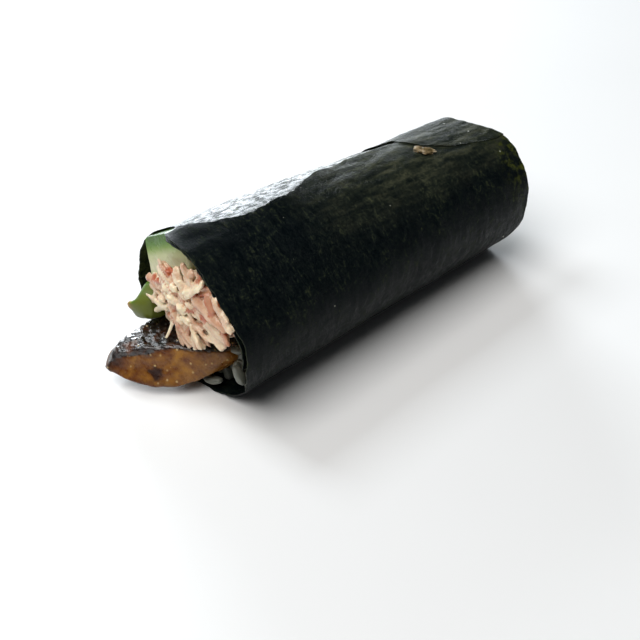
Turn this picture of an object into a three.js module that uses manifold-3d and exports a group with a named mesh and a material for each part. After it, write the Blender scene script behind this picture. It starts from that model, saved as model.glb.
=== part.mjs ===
// Temaki hand roll, lying on its side. Millimetres, +Z up.
// The roll's axis runs along Y: the open mouth with the fillings faces -Y, the far end +Y.
// Angles round the roll are in degrees from the top toward +X.

import * as THREE from 'three';
import { mergeVertices } from 'three/addons/utils/BufferGeometryUtils.js';
import Module from 'manifold-3d';

const wasm = await Module();
wasm.setup();

// Roll
const ROLL_LENGTH = 105;
const MOUTH_HALF_WIDTH = 24.6;
const MOUTH_HALF_HEIGHT = 22.7;
const FAR_HALF_WIDTH = 19.8;
const FAR_HALF_HEIGHT = 19.5;
const SETTLE = 0.79;

// Nori sheet, rolled 1.3 turns
const NORI_THICKNESS = 0.5;
const PLY_PITCH = 0.75;
const NORI_OVERLAP = 110;
const MOUTH_RIM_OUT = 5;
const FAR_RIM = 103;

// Fillings
const FILL_FRACTION = 0.905;
const CLEARANCE = 0.35;
const CUCUMBER_ENDS = [-0.8, 99];
const AVOCADO_FAR_END = 97;
const CRAB_ENDS = [-3.4, 97.5];
const RICE_ENDS = [3, 98];
const EEL_FAR_END = 98.5;

// Shreds and grains
const SHRED_LENGTH = 10.5;
const SHRED_WIDTH = 3.2;
const SHRED_THICKNESS = 2.0;
const GRAIN_LENGTH = 6.2;
const GRAIN_WIDTH = 2.7;
const SPECK_LENGTH = 7.6;
const SPECK_WIDTH = 2.7;

const lerp = THREE.MathUtils.lerp;
const smoothstep = THREE.MathUtils.smoothstep;
const radians = THREE.MathUtils.degToRad;

// Seeded random numbers, so that the shreds and grains always fall alike.
function randomSource(seed) {
  let state = seed >>> 0;
  return () => {
    state = (Math.imul(state, 1664525) + 1013904223) >>> 0;
    return state / 4294967296;
  };
}

function bump(value, centre, halfWidth) {
  const offset = (value - centre) / halfWidth;
  return Math.abs(offset) < 1 ? (1 - offset * offset) ** 2 : 0;
}

function wrapAngle(deg) {
  return ((((deg + 180) % 360) + 360) % 360) - 180;
}

// The roll is not quite oval: its front is pressed flat, the cucumber pushes out a corner,
// and the far end is flattened on top.
function rollFactor(deg, y) {
  const angle = wrapAngle(deg);
  const near = 1 - smoothstep(y, 20, 95);
  const far = smoothstep(y, 70, 100);
  let factor = 1;
  factor -= (0.055 + 0.075 * near) * bump(angle, 38, 50);
  factor += 0.02 * near * bump(angle, -56, 26);
  factor -= 0.03 * bump(angle, 122, 34);
  factor -= 0.02 * near * bump(angle, -22, 30);
  factor -= 0.09 * far * bump(angle, -6, 34);
  factor += 0.05 * far * bump(angle, -42, 22);
  return factor;
}

function halfWidth(y) {
  return lerp(MOUTH_HALF_WIDTH, FAR_HALF_WIDTH, y / ROLL_LENGTH);
}

function halfHeight(y) {
  return lerp(MOUTH_HALF_HEIGHT, FAR_HALF_HEIGHT, y / ROLL_LENGTH);
}

// A point of the roll's wall. The bottom is pressed flat on the table.
function wallPoint(deg, y, inset, depth) {
  const factor = rollFactor(deg, y);
  const angle = radians(deg);
  const x = (halfWidth(y) * factor - inset - depth) * Math.sin(angle);
  const z = halfHeight(y) - SETTLE + (halfHeight(y) * factor - inset - depth) * Math.cos(angle);
  return new THREE.Vector3(x, y, Math.max(z, depth));
}

// A place given in the mouth's plane, carried along the roll as its section narrows.
function carry(x, z, y) {
  const u = x / MOUTH_HALF_WIDTH;
  const v = (z - (MOUTH_HALF_HEIGHT - SETTLE)) / MOUTH_HALF_HEIGHT;
  const deg = THREE.MathUtils.radToDeg(Math.atan2(u, v));
  const fraction = Math.hypot(u, v) / rollFactor(deg, 0);
  const factor = rollFactor(deg, y) * fraction;
  const angle = radians(deg);
  return [
    halfWidth(y) * factor * Math.sin(angle),
    halfHeight(y) - SETTLE + halfHeight(y) * factor * Math.cos(angle),
  ];
}

function geometryFrom(points, triangles) {
  const geometry = new THREE.BufferGeometry();
  const flat = points.flatMap((p) => [p.x, p.y, p.z]);
  geometry.setAttribute('position', new THREE.Float32BufferAttribute(flat, 3));
  geometry.setIndex(triangles);
  return geometry;
}

// Turns the faces outward where a shape was built the other way round.
function faceOut(geometry) {
  const p = geometry.attributes.position;
  const index = geometry.index.array;
  let volume = 0;
  const a = new THREE.Vector3();
  const b = new THREE.Vector3();
  const c = new THREE.Vector3();
  for (let i = 0; i < index.length; i += 3) {
    a.fromBufferAttribute(p, index[i]);
    b.fromBufferAttribute(p, index[i + 1]);
    c.fromBufferAttribute(p, index[i + 2]);
    volume += a.dot(b.cross(c));
  }
  if (volume < 0) {
    for (let i = 0; i < index.length; i += 3) {
      const swap = index[i];
      index[i] = index[i + 1];
      index[i + 1] = swap;
    }
  }
  return geometry;
}

// Twice the area of a triangle seen along Y, positive for one way round.
function turn(a, b, c) {
  return (b.x - a.x) * (c.z - a.z) - (b.z - a.z) * (c.x - a.x);
}

function holds(a, b, c, p, sign) {
  return sign * turn(a, b, p) >= 0 && sign * turn(b, c, p) >= 0 && sign * turn(c, a, p) >= 0;
}

// Splits a flat end into triangles, cutting off the roundest corner each time.
function capTriangles(ring) {
  const left = ring.map((unused, i) => i);
  const area = ring.reduce((sum, p, i) => sum + p.x * ring[(i + 1) % ring.length].z
    - p.z * ring[(i + 1) % ring.length].x, 0);
  const sign = Math.sign(area);
  const triangles = [];
  while (left.length > 3) {
    let best = -1;
    let bestShape = -Infinity;
    for (let i = 0; i < left.length; i += 1) {
      const before = left[(i + left.length - 1) % left.length];
      const here = left[i];
      const after = left[(i + 1) % left.length];
      const [a, b, c] = [ring[before], ring[here], ring[after]];
      const others = left.filter((k) => k !== before && k !== here && k !== after);
      const size = sign * turn(a, b, c);
      const longest = Math.max(a.distanceTo(b), b.distanceTo(c), c.distanceTo(a));
      const clear = !others.some((k) => holds(a, b, c, ring[k], sign));
      const shape = clear ? size / longest ** 2 : -1e3 + size / longest ** 2;
      if (shape > bestShape) {
        bestShape = shape;
        best = i;
      }
    }
    const count = left.length;
    triangles.push([left[(best + count - 1) % count], left[best], left[(best + 1) % count]]);
    left.splice(best, 1);
  }
  triangles.push([...left]);
  return triangles;
}

// A solid through rings of equal length, with flat ends.
function loft(rings) {
  const count = rings[0].length;
  const points = rings.flat();
  const triangles = [];
  for (let r = 0; r < rings.length - 1; r += 1) {
    for (let i = 0; i < count; i += 1) {
      const a = r * count + i;
      const b = r * count + ((i + 1) % count);
      triangles.push(a, b, b + count, a, b + count, a + count);
    }
  }
  const last = (rings.length - 1) * count;
  for (const [a, b, c] of capTriangles(rings[0])) {
    triangles.push(a, c, b);
  }
  for (const [a, b, c] of capTriangles(rings[rings.length - 1])) {
    triangles.push(last + a, last + b, last + c);
  }
  return faceOut(geometryFrom(points, triangles));
}

function toSolid(geometry) {
  const bare = geometry.clone();
  bare.deleteAttribute('normal');
  bare.deleteAttribute('uv');
  const merged = mergeVertices(bare, 1e-4);
  return new wasm.Manifold(
    new wasm.Mesh({
      numProp: 3,
      vertProperties: new Float32Array(merged.attributes.position.array),
      triVerts: new Uint32Array(merged.index.array),
    }),
  );
}

// The largest connected piece of a solid, as a geometry. Loose scraps are left out.
function toGeometry(solid) {
  const mesh = solid.getMesh();
  const coordinates = mesh.vertProperties;
  const corners = mesh.triVerts;
  const parent = Array.from({ length: coordinates.length / 3 }, (unused, i) => i);
  const root = (i) => {
    let top = i;
    while (parent[top] !== top) {
      parent[top] = parent[parent[top]];
      top = parent[top];
    }
    return top;
  };
  for (let i = 0; i < corners.length; i += 3) {
    parent[root(corners[i + 1])] = root(corners[i]);
    parent[root(corners[i + 2])] = root(corners[i]);
  }
  const volumes = new Map();
  const point = (i) => new THREE.Vector3().fromArray(coordinates, i * 3);
  for (let i = 0; i < corners.length; i += 3) {
    const cell = point(corners[i]).dot(point(corners[i + 1]).cross(point(corners[i + 2])));
    const owner = root(corners[i]);
    volumes.set(owner, (volumes.get(owner) ?? 0) + cell);
  }
  const [largest] = [...volumes.entries()].sort((a, b) => b[1] - a[1])[0];
  const renumbered = new Map();
  const points = [];
  const triangles = [];
  for (let i = 0; i < corners.length; i += 1) {
    if (root(corners[i]) === largest) {
      if (!renumbered.has(corners[i])) {
        renumbered.set(corners[i], points.length);
        points.push(point(corners[i]));
      }
      triangles.push(renumbered.get(corners[i]));
    }
  }
  return geometryFrom(points, triangles);
}

// Corner points grown outward by a distance, for the clearance between neighbours.
function grow(corners, distance) {
  if (distance === 0) {
    return corners;
  }
  const middleX = corners.reduce((sum, c) => sum + c[0], 0) / corners.length;
  const middleZ = corners.reduce((sum, c) => sum + c[1], 0) / corners.length;
  return corners.map(([x, z]) => {
    const length = Math.hypot(x - middleX, z - middleZ);
    const scale = (length + distance * 1.4) / length;
    return [middleX + (x - middleX) * scale, middleZ + (z - middleZ) * scale];
  });
}

// Rounds the corners of an outline and gives it extra points.
function rounded(corners, radius) {
  const outline = [];
  const count = corners.length;
  for (let i = 0; i < count; i += 1) {
    const [px, pz] = corners[(i + count - 1) % count];
    const [cx, cz] = corners[i];
    const [nx, nz] = corners[(i + 1) % count];
    const before = Math.min(radius, Math.hypot(px - cx, pz - cz) * 0.45);
    const after = Math.min(radius, Math.hypot(nx - cx, nz - cz) * 0.45);
    const tb = before / Math.hypot(px - cx, pz - cz);
    const ta = after / Math.hypot(nx - cx, nz - cz);
    const start = [cx + (px - cx) * tb, cz + (pz - cz) * tb];
    const end = [cx + (nx - cx) * ta, cz + (nz - cz) * ta];
    outline.push(start);
    outline.push([(start[0] + end[0] + 2 * cx) / 4, (start[1] + end[1] + 2 * cz) / 4]);
    outline.push(end);
  }
  return outline;
}

// A filling whose section is the same outline all along the roll.
function filling(outline, stations) {
  return loft(
    stations.map((y) => outline.map(([x, z]) => {
      const [cx, cz] = carry(x, z, y);
      return new THREE.Vector3(cx, y, cz);
    })),
  );
}

function along(from, to, steps) {
  return Array.from({ length: steps + 1 }, (unused, i) => lerp(from, to, i / steps));
}

// Points of the filling's outer limit, in the mouth's plane.
function limitArc(fromDeg, toDeg, steps, fraction = FILL_FRACTION) {
  const arc = [];
  for (let i = 0; i <= steps; i += 1) {
    const deg = lerp(fromDeg, toDeg, i / steps);
    const factor = rollFactor(deg, 0) * fraction;
    const z = MOUTH_HALF_HEIGHT - SETTLE + MOUTH_HALF_HEIGHT * factor * Math.cos(radians(deg));
    arc.push([MOUTH_HALF_WIDTH * factor * Math.sin(radians(deg)), z]);
  }
  return arc;
}

// Nori
// The free edge of the sheet wanders along the top of the roll.
function seamAngle(y) {
  return -13 + 12 * bump(y, 26, 24) - 5 * smoothstep(y, 36, 60);
}

function mouthRim(deg) {
  const angle = wrapAngle(deg);
  const front = smoothstep(angle, -38, -4) * (1 - smoothstep(angle, 96, 138));
  const waves = 0.35 * Math.sin(radians(5 * angle + 40)) + 0.8 * bump(angle, -44, 22);
  return waves - MOUTH_RIM_OUT * front;
}

function farRim(deg) {
  const angle = wrapAngle(deg);
  return FAR_RIM + 3.4 * bump(angle, 34, 48) + 1.6 * bump(angle, 72, 30);
}

function noriSheet() {
  const travels = [];
  for (let t = 0; t < 200; t += 6.25) {
    travels.push(t);
  }
  for (let t = 200; t < 300; t += 9) {
    travels.push(t);
  }
  for (let t = 300; t < 372; t += 6.5) {
    travels.push(t);
  }
  for (let t = 372; t < 360 + NORI_OVERLAP - 3; t += 9.5) {
    travels.push(t);
  }
  travels.push(360 + NORI_OVERLAP);
  const rows = [0, 0.06, 0.15, 0.25, 0.35, 0.46, 0.57, 0.68, 0.77, 0.85, 0.91, 0.96, 1];
  const points = [];
  for (const depth of [0, NORI_THICKNESS]) {
    for (const row of rows) {
      const nominal = row * ROLL_LENGTH;
      for (const travel of travels) {
        const deg = seamAngle(nominal) + travel;
        const y = lerp(mouthRim(deg), farRim(deg), row);
        points.push(wallPoint(deg, y, (PLY_PITCH * travel) / 360, depth));
      }
    }
  }
  const columns = travels.length;
  const layer = rows.length * columns;
  const at = (side, r, c) => side * layer + r * columns + c;
  const triangles = [];
  const quad = (a, b, c, d) => triangles.push(a, b, c, a, c, d);
  for (let r = 0; r < rows.length - 1; r += 1) {
    for (let c = 0; c < columns - 1; c += 1) {
      quad(at(0, r, c), at(0, r, c + 1), at(0, r + 1, c + 1), at(0, r + 1, c));
      quad(at(1, r, c), at(1, r + 1, c), at(1, r + 1, c + 1), at(1, r, c + 1));
    }
    const end = columns - 1;
    quad(at(0, r, 0), at(0, r + 1, 0), at(1, r + 1, 0), at(1, r, 0));
    quad(at(0, r, end), at(1, r, end), at(1, r + 1, end), at(0, r + 1, end));
  }
  const top = rows.length - 1;
  for (let c = 0; c < columns - 1; c += 1) {
    quad(at(0, 0, c), at(1, 0, c), at(1, 0, c + 1), at(0, 0, c + 1));
    quad(at(0, top, c), at(0, top, c + 1), at(1, top, c + 1), at(1, top, c));
  }
  return faceOut(geometryFrom(points, triangles));
}

// A low ellipsoid for a grain or speck, turned along a direction.
function grain(centre, direction, length, width, thickness) {
  const shape = new THREE.IcosahedronGeometry(1, 0);
  shape.scale(width / 2, length / 2, thickness / 2);
  const turn = new THREE.Quaternion().setFromUnitVectors(
    new THREE.Vector3(0, 1, 0),
    direction.clone().normalize(),
  );
  shape.applyQuaternion(turn);
  shape.translate(centre.x, centre.y, centre.z);
  return toSolid(shape);
}

// A bent, flattened shred with blunt ends.
function shred(from, to, sag, width, thickness, facing) {
  const middle = from.clone().lerp(to, 0.5).add(sag);
  const curve = new THREE.QuadraticBezierCurve3(from, middle, to);
  const stations = [0, 0.3, 0.65, 1];
  const swell = [0.55, 1, 0.95, 0.6];
  const rings = stations.map((s, k) => {
    const centre = curve.getPoint(s);
    const tangent = curve.getTangent(s);
    const across = new THREE.Vector3().crossVectors(tangent, facing).normalize();
    const out = new THREE.Vector3().crossVectors(across, tangent).normalize();
    return Array.from({ length: 6 }, (unused, i) => {
      const angle = (i / 6) * Math.PI * 2;
      return centre
        .clone()
        .addScaledVector(across, Math.cos(angle) * width * 0.5 * swell[k])
        .addScaledVector(out, Math.sin(angle) * thickness * 0.5 * swell[k]);
    });
  });
  const count = 6;
  const points = rings.flat();
  const triangles = [];
  for (let r = 0; r < rings.length - 1; r += 1) {
    for (let i = 0; i < count; i += 1) {
      const a = r * count + i;
      const b = r * count + ((i + 1) % count);
      triangles.push(a, b, b + count, a, b + count, a + count);
    }
  }
  const last = (rings.length - 1) * count;
  for (let i = 1; i < count - 1; i += 1) {
    triangles.push(0, i + 1, i);
    triangles.push(last, last + i, last + i + 1);
  }
  return toSolid(faceOut(geometryFrom(points, triangles)));
}

// Cucumber, a peeled-side stick with its skin toward the top
const cucumberCorners = [
  [-17.9, 35.6], [-8.9, 40.9], [-2.6, 41.2], [-0.2, 35.2], [-3.4, 31.2], [-16.6, 25.4],
];

function cucumberStick(clearance) {
  const outline = rounded(grow(cucumberCorners, clearance), 1.2);
  return filling(outline, along(CUCUMBER_ENDS[0] - clearance, CUCUMBER_ENDS[1] + clearance, 8));
}

// Avocado, a slice with a rounded back and a hollow underside, narrowing to a tip at the mouth
const avocadoStations = [
  {
    y: -7.4,
    corners: [[-19.6, 18.5], [-18.5, 19.7], [-17.2, 19.5], [-16.8, 18.1], [-17.9, 17.3], [-19.2, 17.5]],
  },
  {
    y: -6.2,
    corners: [[-19.8, 18.6], [-17.6, 21.0], [-14.8, 20.6], [-13.6, 17.0], [-16.0, 15.6], [-19.0, 15.6]],
  },
  {
    y: -5.0,
    corners: [[-19.4, 19.4], [-17.2, 22.2], [-13.2, 22.2], [-12.2, 16.4], [-15.2, 15.0], [-19.5, 14.5]],
  },
  {
    y: -2.5,
    corners: [[-19.8, 21.0], [-16.9, 24.0], [-12.4, 23.6], [-11.6, 15.8], [-15.3, 15.2], [-19.8, 14.5]],
  },
  {
    y: 0.5,
    corners: [[-20.4, 22.2], [-16.8, 24.2], [-12.3, 24.0], [-11.5, 15.8], [-15.4, 15.8], [-19.8, 14.8]],
  },
];

function avocadoSlice(clearance) {
  const ring = (corners, y) => rounded(grow(corners, clearance), 1.3).map(([x, z]) => {
    const [cx, cz] = y > 0 ? carry(x, z, y) : [x, z];
    return new THREE.Vector3(cx, y, cz);
  });
  const rings = avocadoStations.map(({ y, corners }, k) => ring(corners, k === 0 ? y - clearance : y));
  const last = avocadoStations[avocadoStations.length - 1];
  for (const y of along(16, AVOCADO_FAR_END + clearance, 5)) {
    rings.push(ring(last.corners, y));
  }
  return loft(rings);
}

// Grilled eel, a slab that thins toward its right edge and droops into a tongue
const eelStations = [
  { y: -17.6, left: -17.2, right: -15.4, foot: -13.6, top: 7.2, bottom: 4.8 },
  { y: -16.8, left: -17.8, right: -14.6, foot: -11.0, top: 9.0, bottom: 4.0 },
  { y: -15.2, left: -17.8, right: -12.6, foot: -8.2, top: 10.8, bottom: 3.2 },
  { y: -12.4, left: -17.6, right: -9.2, foot: -4.0, top: 12.4, bottom: 2.6 },
  { y: -9.2, left: -17.4, right: -5.2, foot: -0.5, top: 13.3, bottom: 2.6 },
  { y: -6.2, left: -17.4, right: -1.9, foot: 1.5, top: 13.7, bottom: 3.0 },
  { y: -3.4, left: -17.6, right: 2.6, foot: 3.3, top: 13.9, bottom: 3.8 },
  { y: -0.6, left: -17.8, right: 6.2, foot: 4.8, top: 14.0, bottom: 4.5 },
  { y: 3.0, left: -18.0, right: 8.6, foot: 5.5, top: 14.1, bottom: 4.8 },
  { y: 7.0, left: -18.2, right: 9.2, foot: 5.4, top: 14.5, bottom: 4.8 },
];

function eelOutline(s, inside) {
  const cornerX = lerp(s.left + 0.3, -13.2, inside);
  const cornerZ = lerp(s.bottom + 0.5, 6.4, inside);
  const thin = s.top - lerp(4.6, 3.6, inside);
  return [
    [s.left, s.top - lerp(2.2, 1.2, inside)],
    [s.left + 1.6, s.top],
    [s.right, s.top],
    [lerp(s.right + 1.6, s.right + 0.5, inside), Math.max(thin, (s.top + s.bottom) / 2)],
    [s.foot, s.bottom + lerp(0.4, 1.2, inside)],
    [s.foot - 3.4, s.bottom],
    [cornerX + 2.5, lerp(s.bottom, 5.6, inside)],
    [cornerX, cornerZ],
  ];
}

function eelSlab(clearance) {
  const rings = [];
  const add = (station, y, inside) => {
    const outline = rounded(grow(eelOutline(station, inside), clearance), 0.9);
    rings.push(
      outline.map(([x, z]) => {
        const [cx, cz] = y > 0 ? carry(x, z, y) : [x, z];
        return new THREE.Vector3(cx, y, cz);
      }),
    );
  };
  eelStations.forEach((station, k) => {
    const y = k === 0 ? station.y - clearance : station.y;
    add(station, y, smoothstep(station.y, -5, 0));
  });
  const last = eelStations[eelStations.length - 1];
  for (const y of along(16, EEL_FAR_END + clearance, 6)) {
    add(last, y, 1);
  }
  return loft(rings);
}

// Crab salad: a core with its shreds on both ends
const crabLeft = [[2.6, 36.2], [-2.4, 30.2], [-11.4, 25.6], [-11.2, 23.0], [-10.6, 16.2], [-1, 15.8]];
const crabOutline = [...limitArc(87, 14, 8), ...crabLeft, [8.6, 16.2], [14.6, 18.6], [20.4, 21.4]];
const crabAtMouth = [...limitArc(74, 14, 8), ...crabLeft, [7.0, 17.2], [11.4, 21.0], [17.0, 24.6]];

// The heap stands back from the rice at the mouth and fills its whole room further in.
function crabCore() {
  const ring = (y, scale) => {
    const share = smoothstep(y, 4, 14);
    const outline = crabAtMouth.map(([x, z], i) => [
      lerp(x, crabOutline[i][0], share),
      lerp(z, crabOutline[i][1], share),
    ]);
    const middleX = outline.reduce((sum, c) => sum + c[0], 0) / outline.length;
    const middleZ = outline.reduce((sum, c) => sum + c[1], 0) / outline.length;
    return outline.map(([x, z]) => {
      const [cx, cz] = carry(middleX + (x - middleX) * scale, middleZ + (z - middleZ) * scale, y);
      return new THREE.Vector3(cx, y, cz);
    });
  };
  const [near, far] = CRAB_ENDS;
  const rings = [ring(near, 0.8), ring(near + 1.2, 0.94), ring(0, 1), ring(5, 1), ring(14, 1)];
  for (const y of along(34, far - 2, 3)) {
    rings.push(ring(y, 1));
  }
  rings.push(ring(far, 0.9));
  return loft(rings);
}

function insideOutline(x, z, outline) {
  let inside = false;
  for (let i = 0, j = outline.length - 1; i < outline.length; j = i, i += 1) {
    const [xi, zi] = outline[i];
    const [xj, zj] = outline[j];
    if (zi > z !== zj > z && x < ((xj - xi) * (z - zi)) / (zj - zi) + xi) {
      inside = !inside;
    }
  }
  return inside;
}

// The shreds lie across the mouth in rows, sloping down to the right.
function crabShreds(end, rowPitch, columnPitch, seed) {
  const random = randomSource(seed);
  const side = end < 0 ? -1 : 1;
  const heap = end < 0 ? crabAtMouth : crabOutline;
  const shreds = [];
  for (let z = 17.6; z < 41; z += rowPitch) {
    for (let x = -11; x < 21; x += columnPitch) {
      const px = x + (random() - 0.5) * columnPitch * 0.7;
      const pz = z + (random() - 0.5) * rowPitch * 0.7;
      const slope = radians(-24 + (random() - 0.5) * 60);
      const length = SHRED_LENGTH * (0.75 + random() * 0.5);
      const rise = 0.4 + random() * 1.5;
      const tilt = (random() - 0.5) * 2.2;
      const width = SHRED_WIDTH * (0.75 + random() * 0.5);
      const thickness = SHRED_THICKNESS * (0.85 + random() * 0.4);
      if (!insideOutline(px, pz, heap)) {
        continue;
      }
      const [cx, cz] = carry(px, pz, end);
      const y = end + side * rise;
      // An end that would leave the heap is drawn back halfway.
      const [from, to] = [-0.5, 0.5].map((part) => {
        const dx = Math.cos(slope) * length * part;
        const dz = Math.sin(slope) * length * part;
        const reach = insideOutline(px + dx, pz + dz, heap) ? 1 : 0.5;
        return new THREE.Vector3(cx + dx * reach, y + tilt * part, cz + dz * reach);
      });
      const sag = new THREE.Vector3(0, side * 0.9, 0.5);
      shreds.push(shred(from, to, sag, width, thickness, new THREE.Vector3(0, side, 0)));
    }
  }
  return shreds;
}

// Shreds that stick out on the left of the mouth, and one that hangs on the eel.
function looseShreds() {
  const facing = new THREE.Vector3(0, -1, 0);
  const list = [
    [[-7.4, -4.4, 36.4], [-2.5, -3.6, 31.0], 2.6],
    [[-3.4, -3.9, 34.2], [5.0, -4.0, 32.0], 3.2],
    [[-11.8, -4.4, 30.2], [-3, -4.2, 27.5], 2.8],
    [[-14.6, -4.8, 23.9], [-4, -4.6, 21.5], 2.6],
    [[-11.3, -4.8, 19.0], [-3.5, -4.6, 25], 2.6],
    [[9.8, -5.0, 37.2], [2.6, -6.0, 31.6], 3.2],
    [[2.2, -4.4, 38.6], [8, -5.0, 33.4], 2.8],
    [[-4.6, -4.3, 18.4], [-6.6, -4.6, 15.2], 1.6],
  ];
  return list.map(([a, b, width]) => {
    const from = new THREE.Vector3(...a);
    const to = new THREE.Vector3(...b);
    return shred(from, to, new THREE.Vector3(0, -1, 0.8), width, 1.7, facing);
  });
}

// The room inside the nori, open in front of the mouth
function roomInside() {
  const inside = filling(limitArc(0, 345, 23, FILL_FRACTION + 0.012), along(-6.2, 110, 9));
  const front = new THREE.BoxGeometry(80, 30, 80);
  front.translate(0, -MOUTH_RIM_OUT - 0.8 - 15, 20);
  return toSolid(inside).add(toSolid(front));
}

function riceOutline() {
  return [
    ...limitArc(103, 208, 10),
    [-10.4, 5.1],
    [-2, 4.0],
    [4.6, 5.2],
    [10.2, 10.4],
    [10.6, 14.8],
    [14.4, 15.7],
    [20.4, 16.9],
  ];
}

function crabSalad() {
  let solid = toSolid(crabCore());
  const pieces = [
    ...crabShreds(CRAB_ENDS[0], 3.6, 8.2, 11),
    ...looseShreds(),
    ...crabShreds(CRAB_ENDS[1], 5.6, 11.5, 29),
  ];
  for (const piece of pieces) {
    solid = solid.add(piece);
  }
  solid = solid.intersect(roomInside());
  const riceRoom = filling(grow(riceOutline(), CLEARANCE), along(-2.5, 110, 6));
  for (const neighbour of [
    cucumberStick(CLEARANCE),
    avocadoSlice(CLEARANCE),
    eelSlab(CLEARANCE),
    riceRoom,
  ]) {
    solid = solid.subtract(toSolid(neighbour));
  }
  return toGeometry(solid);
}

// Rice: a bed under the eel with its grains showing at both ends
function riceGrains(end, seed) {
  const random = randomSource(seed);
  const side = end < 10 ? -1 : 1;
  const outline = riceOutline();
  const grains = [];
  for (let z = 2.2; z < 17; z += 2.6) {
    for (let x = -9; x < 21; x += 4.2) {
      const px = x + (random() - 0.5) * 1.6;
      const pz = z + (random() - 0.5) * 1.0;
      const spin = random() * Math.PI;
      const lean = (random() - 0.5) * 1.1;
      const size = 0.88 + random() * 0.24;
      const rise = random() * 1.1;
      if (!insideOutline(px, pz, outline)) {
        continue;
      }
      const [cx, cz] = carry(px, pz, end);
      const direction = new THREE.Vector3(Math.cos(spin), lean, Math.sin(spin));
      const centre = new THREE.Vector3(cx, end + side * rise, cz);
      const width = GRAIN_WIDTH * size;
      grains.push(grain(centre, direction, GRAIN_LENGTH * size, width, width * 0.85));
    }
  }
  return grains;
}

function riceBed() {
  let solid = toSolid(filling(riceOutline(), along(RICE_ENDS[0], RICE_ENDS[1], 7)));
  for (const piece of [...riceGrains(RICE_ENDS[0], 5), ...riceGrains(RICE_ENDS[1], 17)]) {
    solid = solid.add(piece);
  }
  const hollow = new THREE.IcosahedronGeometry(1, 1);
  hollow.scale(4.6, 7, 4.2);
  hollow.translate(6.4, 0.2, 2.6);
  solid = solid.subtract(toSolid(hollow));
  solid = solid.intersect(roomInside());
  const crabRoom = filling(grow(crabOutline, CLEARANCE), along(-12, 110, 6));
  solid = solid.subtract(toSolid(crabRoom));
  solid = solid.subtract(toSolid(eelSlab(CLEARANCE)));
  return toGeometry(solid);
}

// A crumb of filling stuck to the outside of the nori
function noriWithSpeck() {
  const tail = wallPoint(2, 76.2, 0, 0.1);
  const head = wallPoint(12, 81.2, 0, 0.1);
  const middle = tail.clone().lerp(head, 0.5);
  const direction = head.clone().sub(tail);
  const speck = grain(middle, direction, SPECK_LENGTH, SPECK_WIDTH, 1.6);
  return toGeometry(toSolid(noriSheet()).add(speck));
}

function matte(color, roughness) {
  return new THREE.MeshStandardMaterial({ color, roughness, metalness: 0 });
}

const sheetMaterial = matte(0x1b2420, 0.45);
const pieces = [
  ['nori', noriWithSpeck(), sheetMaterial],
  ['rice', riceBed(), matte(0xe9e6d8, 0.6)],
  ['crab_salad', crabSalad(), matte(0xefcdb8, 0.45)],
  ['cucumber', cucumberStick(0), matte(0xb9cf94, 0.4)],
  ['avocado', avocadoSlice(0), matte(0x7fa03a, 0.5)],
  ['eel', eelSlab(0), matte(0x8a5422, 0.3)],
];

const roll = new THREE.Group();
for (const [name, geometry, material] of pieces) {
  const mesh = new THREE.Mesh(geometry, material);
  mesh.name = name;
  roll.add(mesh);
}

// The roll stands on z = 0, with the middle of its outline at the origin.
const box = new THREE.Box3().setFromObject(roll);
roll.position.set(-(box.min.x + box.max.x) / 2, -(box.min.y + box.max.y) / 2, -box.min.z);

const group = new THREE.Group();
group.add(roll);
group.updateMatrixWorld(true);

export default group;
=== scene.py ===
import math

import bmesh
import bpy
import numpy as np
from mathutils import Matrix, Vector, kdtree, noise


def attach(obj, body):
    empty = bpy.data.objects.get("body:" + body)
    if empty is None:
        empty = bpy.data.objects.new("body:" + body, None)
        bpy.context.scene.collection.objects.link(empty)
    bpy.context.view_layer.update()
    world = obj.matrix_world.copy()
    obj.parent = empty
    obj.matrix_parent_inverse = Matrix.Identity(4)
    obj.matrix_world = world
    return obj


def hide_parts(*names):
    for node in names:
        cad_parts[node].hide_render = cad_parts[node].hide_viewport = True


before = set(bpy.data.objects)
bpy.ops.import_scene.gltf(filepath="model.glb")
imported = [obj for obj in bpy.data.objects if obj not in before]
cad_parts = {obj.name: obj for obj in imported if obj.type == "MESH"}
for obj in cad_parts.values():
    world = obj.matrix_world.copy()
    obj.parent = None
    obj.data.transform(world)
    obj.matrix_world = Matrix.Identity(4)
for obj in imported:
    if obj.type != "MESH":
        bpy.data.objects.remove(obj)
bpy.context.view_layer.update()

# Sizes of the roll in millimetres, as in the solids
ROLL_LENGTH = 105
MOUTH_HALF_WIDTH = 24.6
MOUTH_HALF_HEIGHT = 22.7
FAR_HALF_WIDTH = 19.8
FAR_HALF_HEIGHT = 19.5
AXIS_HEIGHT = 21.5
AXIS_TO_WALL = 22
# The round outline is lowered by this much, and the sheet is flattened on the floor
SETTLE = 0.79

# The sheet: the step from turn to turn, its thickness, and the degrees that it wraps past one turn
PLY_PITCH = 0.75
SHEET_THICKNESS = 0.32
FLAP_THICKNESS = 0.15
NORI_OVERLAP = 110
MOUTH_RIM_OUT = 5
FAR_RIM = 103
SHEET_GRID = (296, 150)
FLAP_GRID = (130, 80)
FLAP_ANGLES = (-70, 22)
# The crumb's two ends, each an angle round the roll and a place along it
CRUMB_TAIL = (2.0, 76.2)
CRUMB_HEAD = (12.0, 81.2)

# The fillings keep to this share of the roll's outline, and end at these places along it
FILL_FRACTION = 0.905
CUCUMBER_ENDS = (-0.8, 99)
AVOCADO_FAR_END = 97
CRAB_FAR_END = 97.5
RICE_ENDS = (3, 98)
EEL_FAR_END = 98.5
GRAIN_LENGTH = 6.2
GRAIN_WIDTH = 2.7

# Points on a rounded corner
CORNER_STEPS = 5
# Points round a section of the cucumber and the crab, of the avocado and of the rice
SECTION_POINTS = 150
AVOCADO_POINTS = 110
RICE_POINTS = 120

# The point of the roll that lies at the scene's origin
MIDDLE = np.array([0.28, 44.39, 0.0])
MILLIMETRES_PER_METRE = 1000


def in_scene(points):
    return (np.asarray(points, float) - MIDDLE) * 0.001


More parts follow.
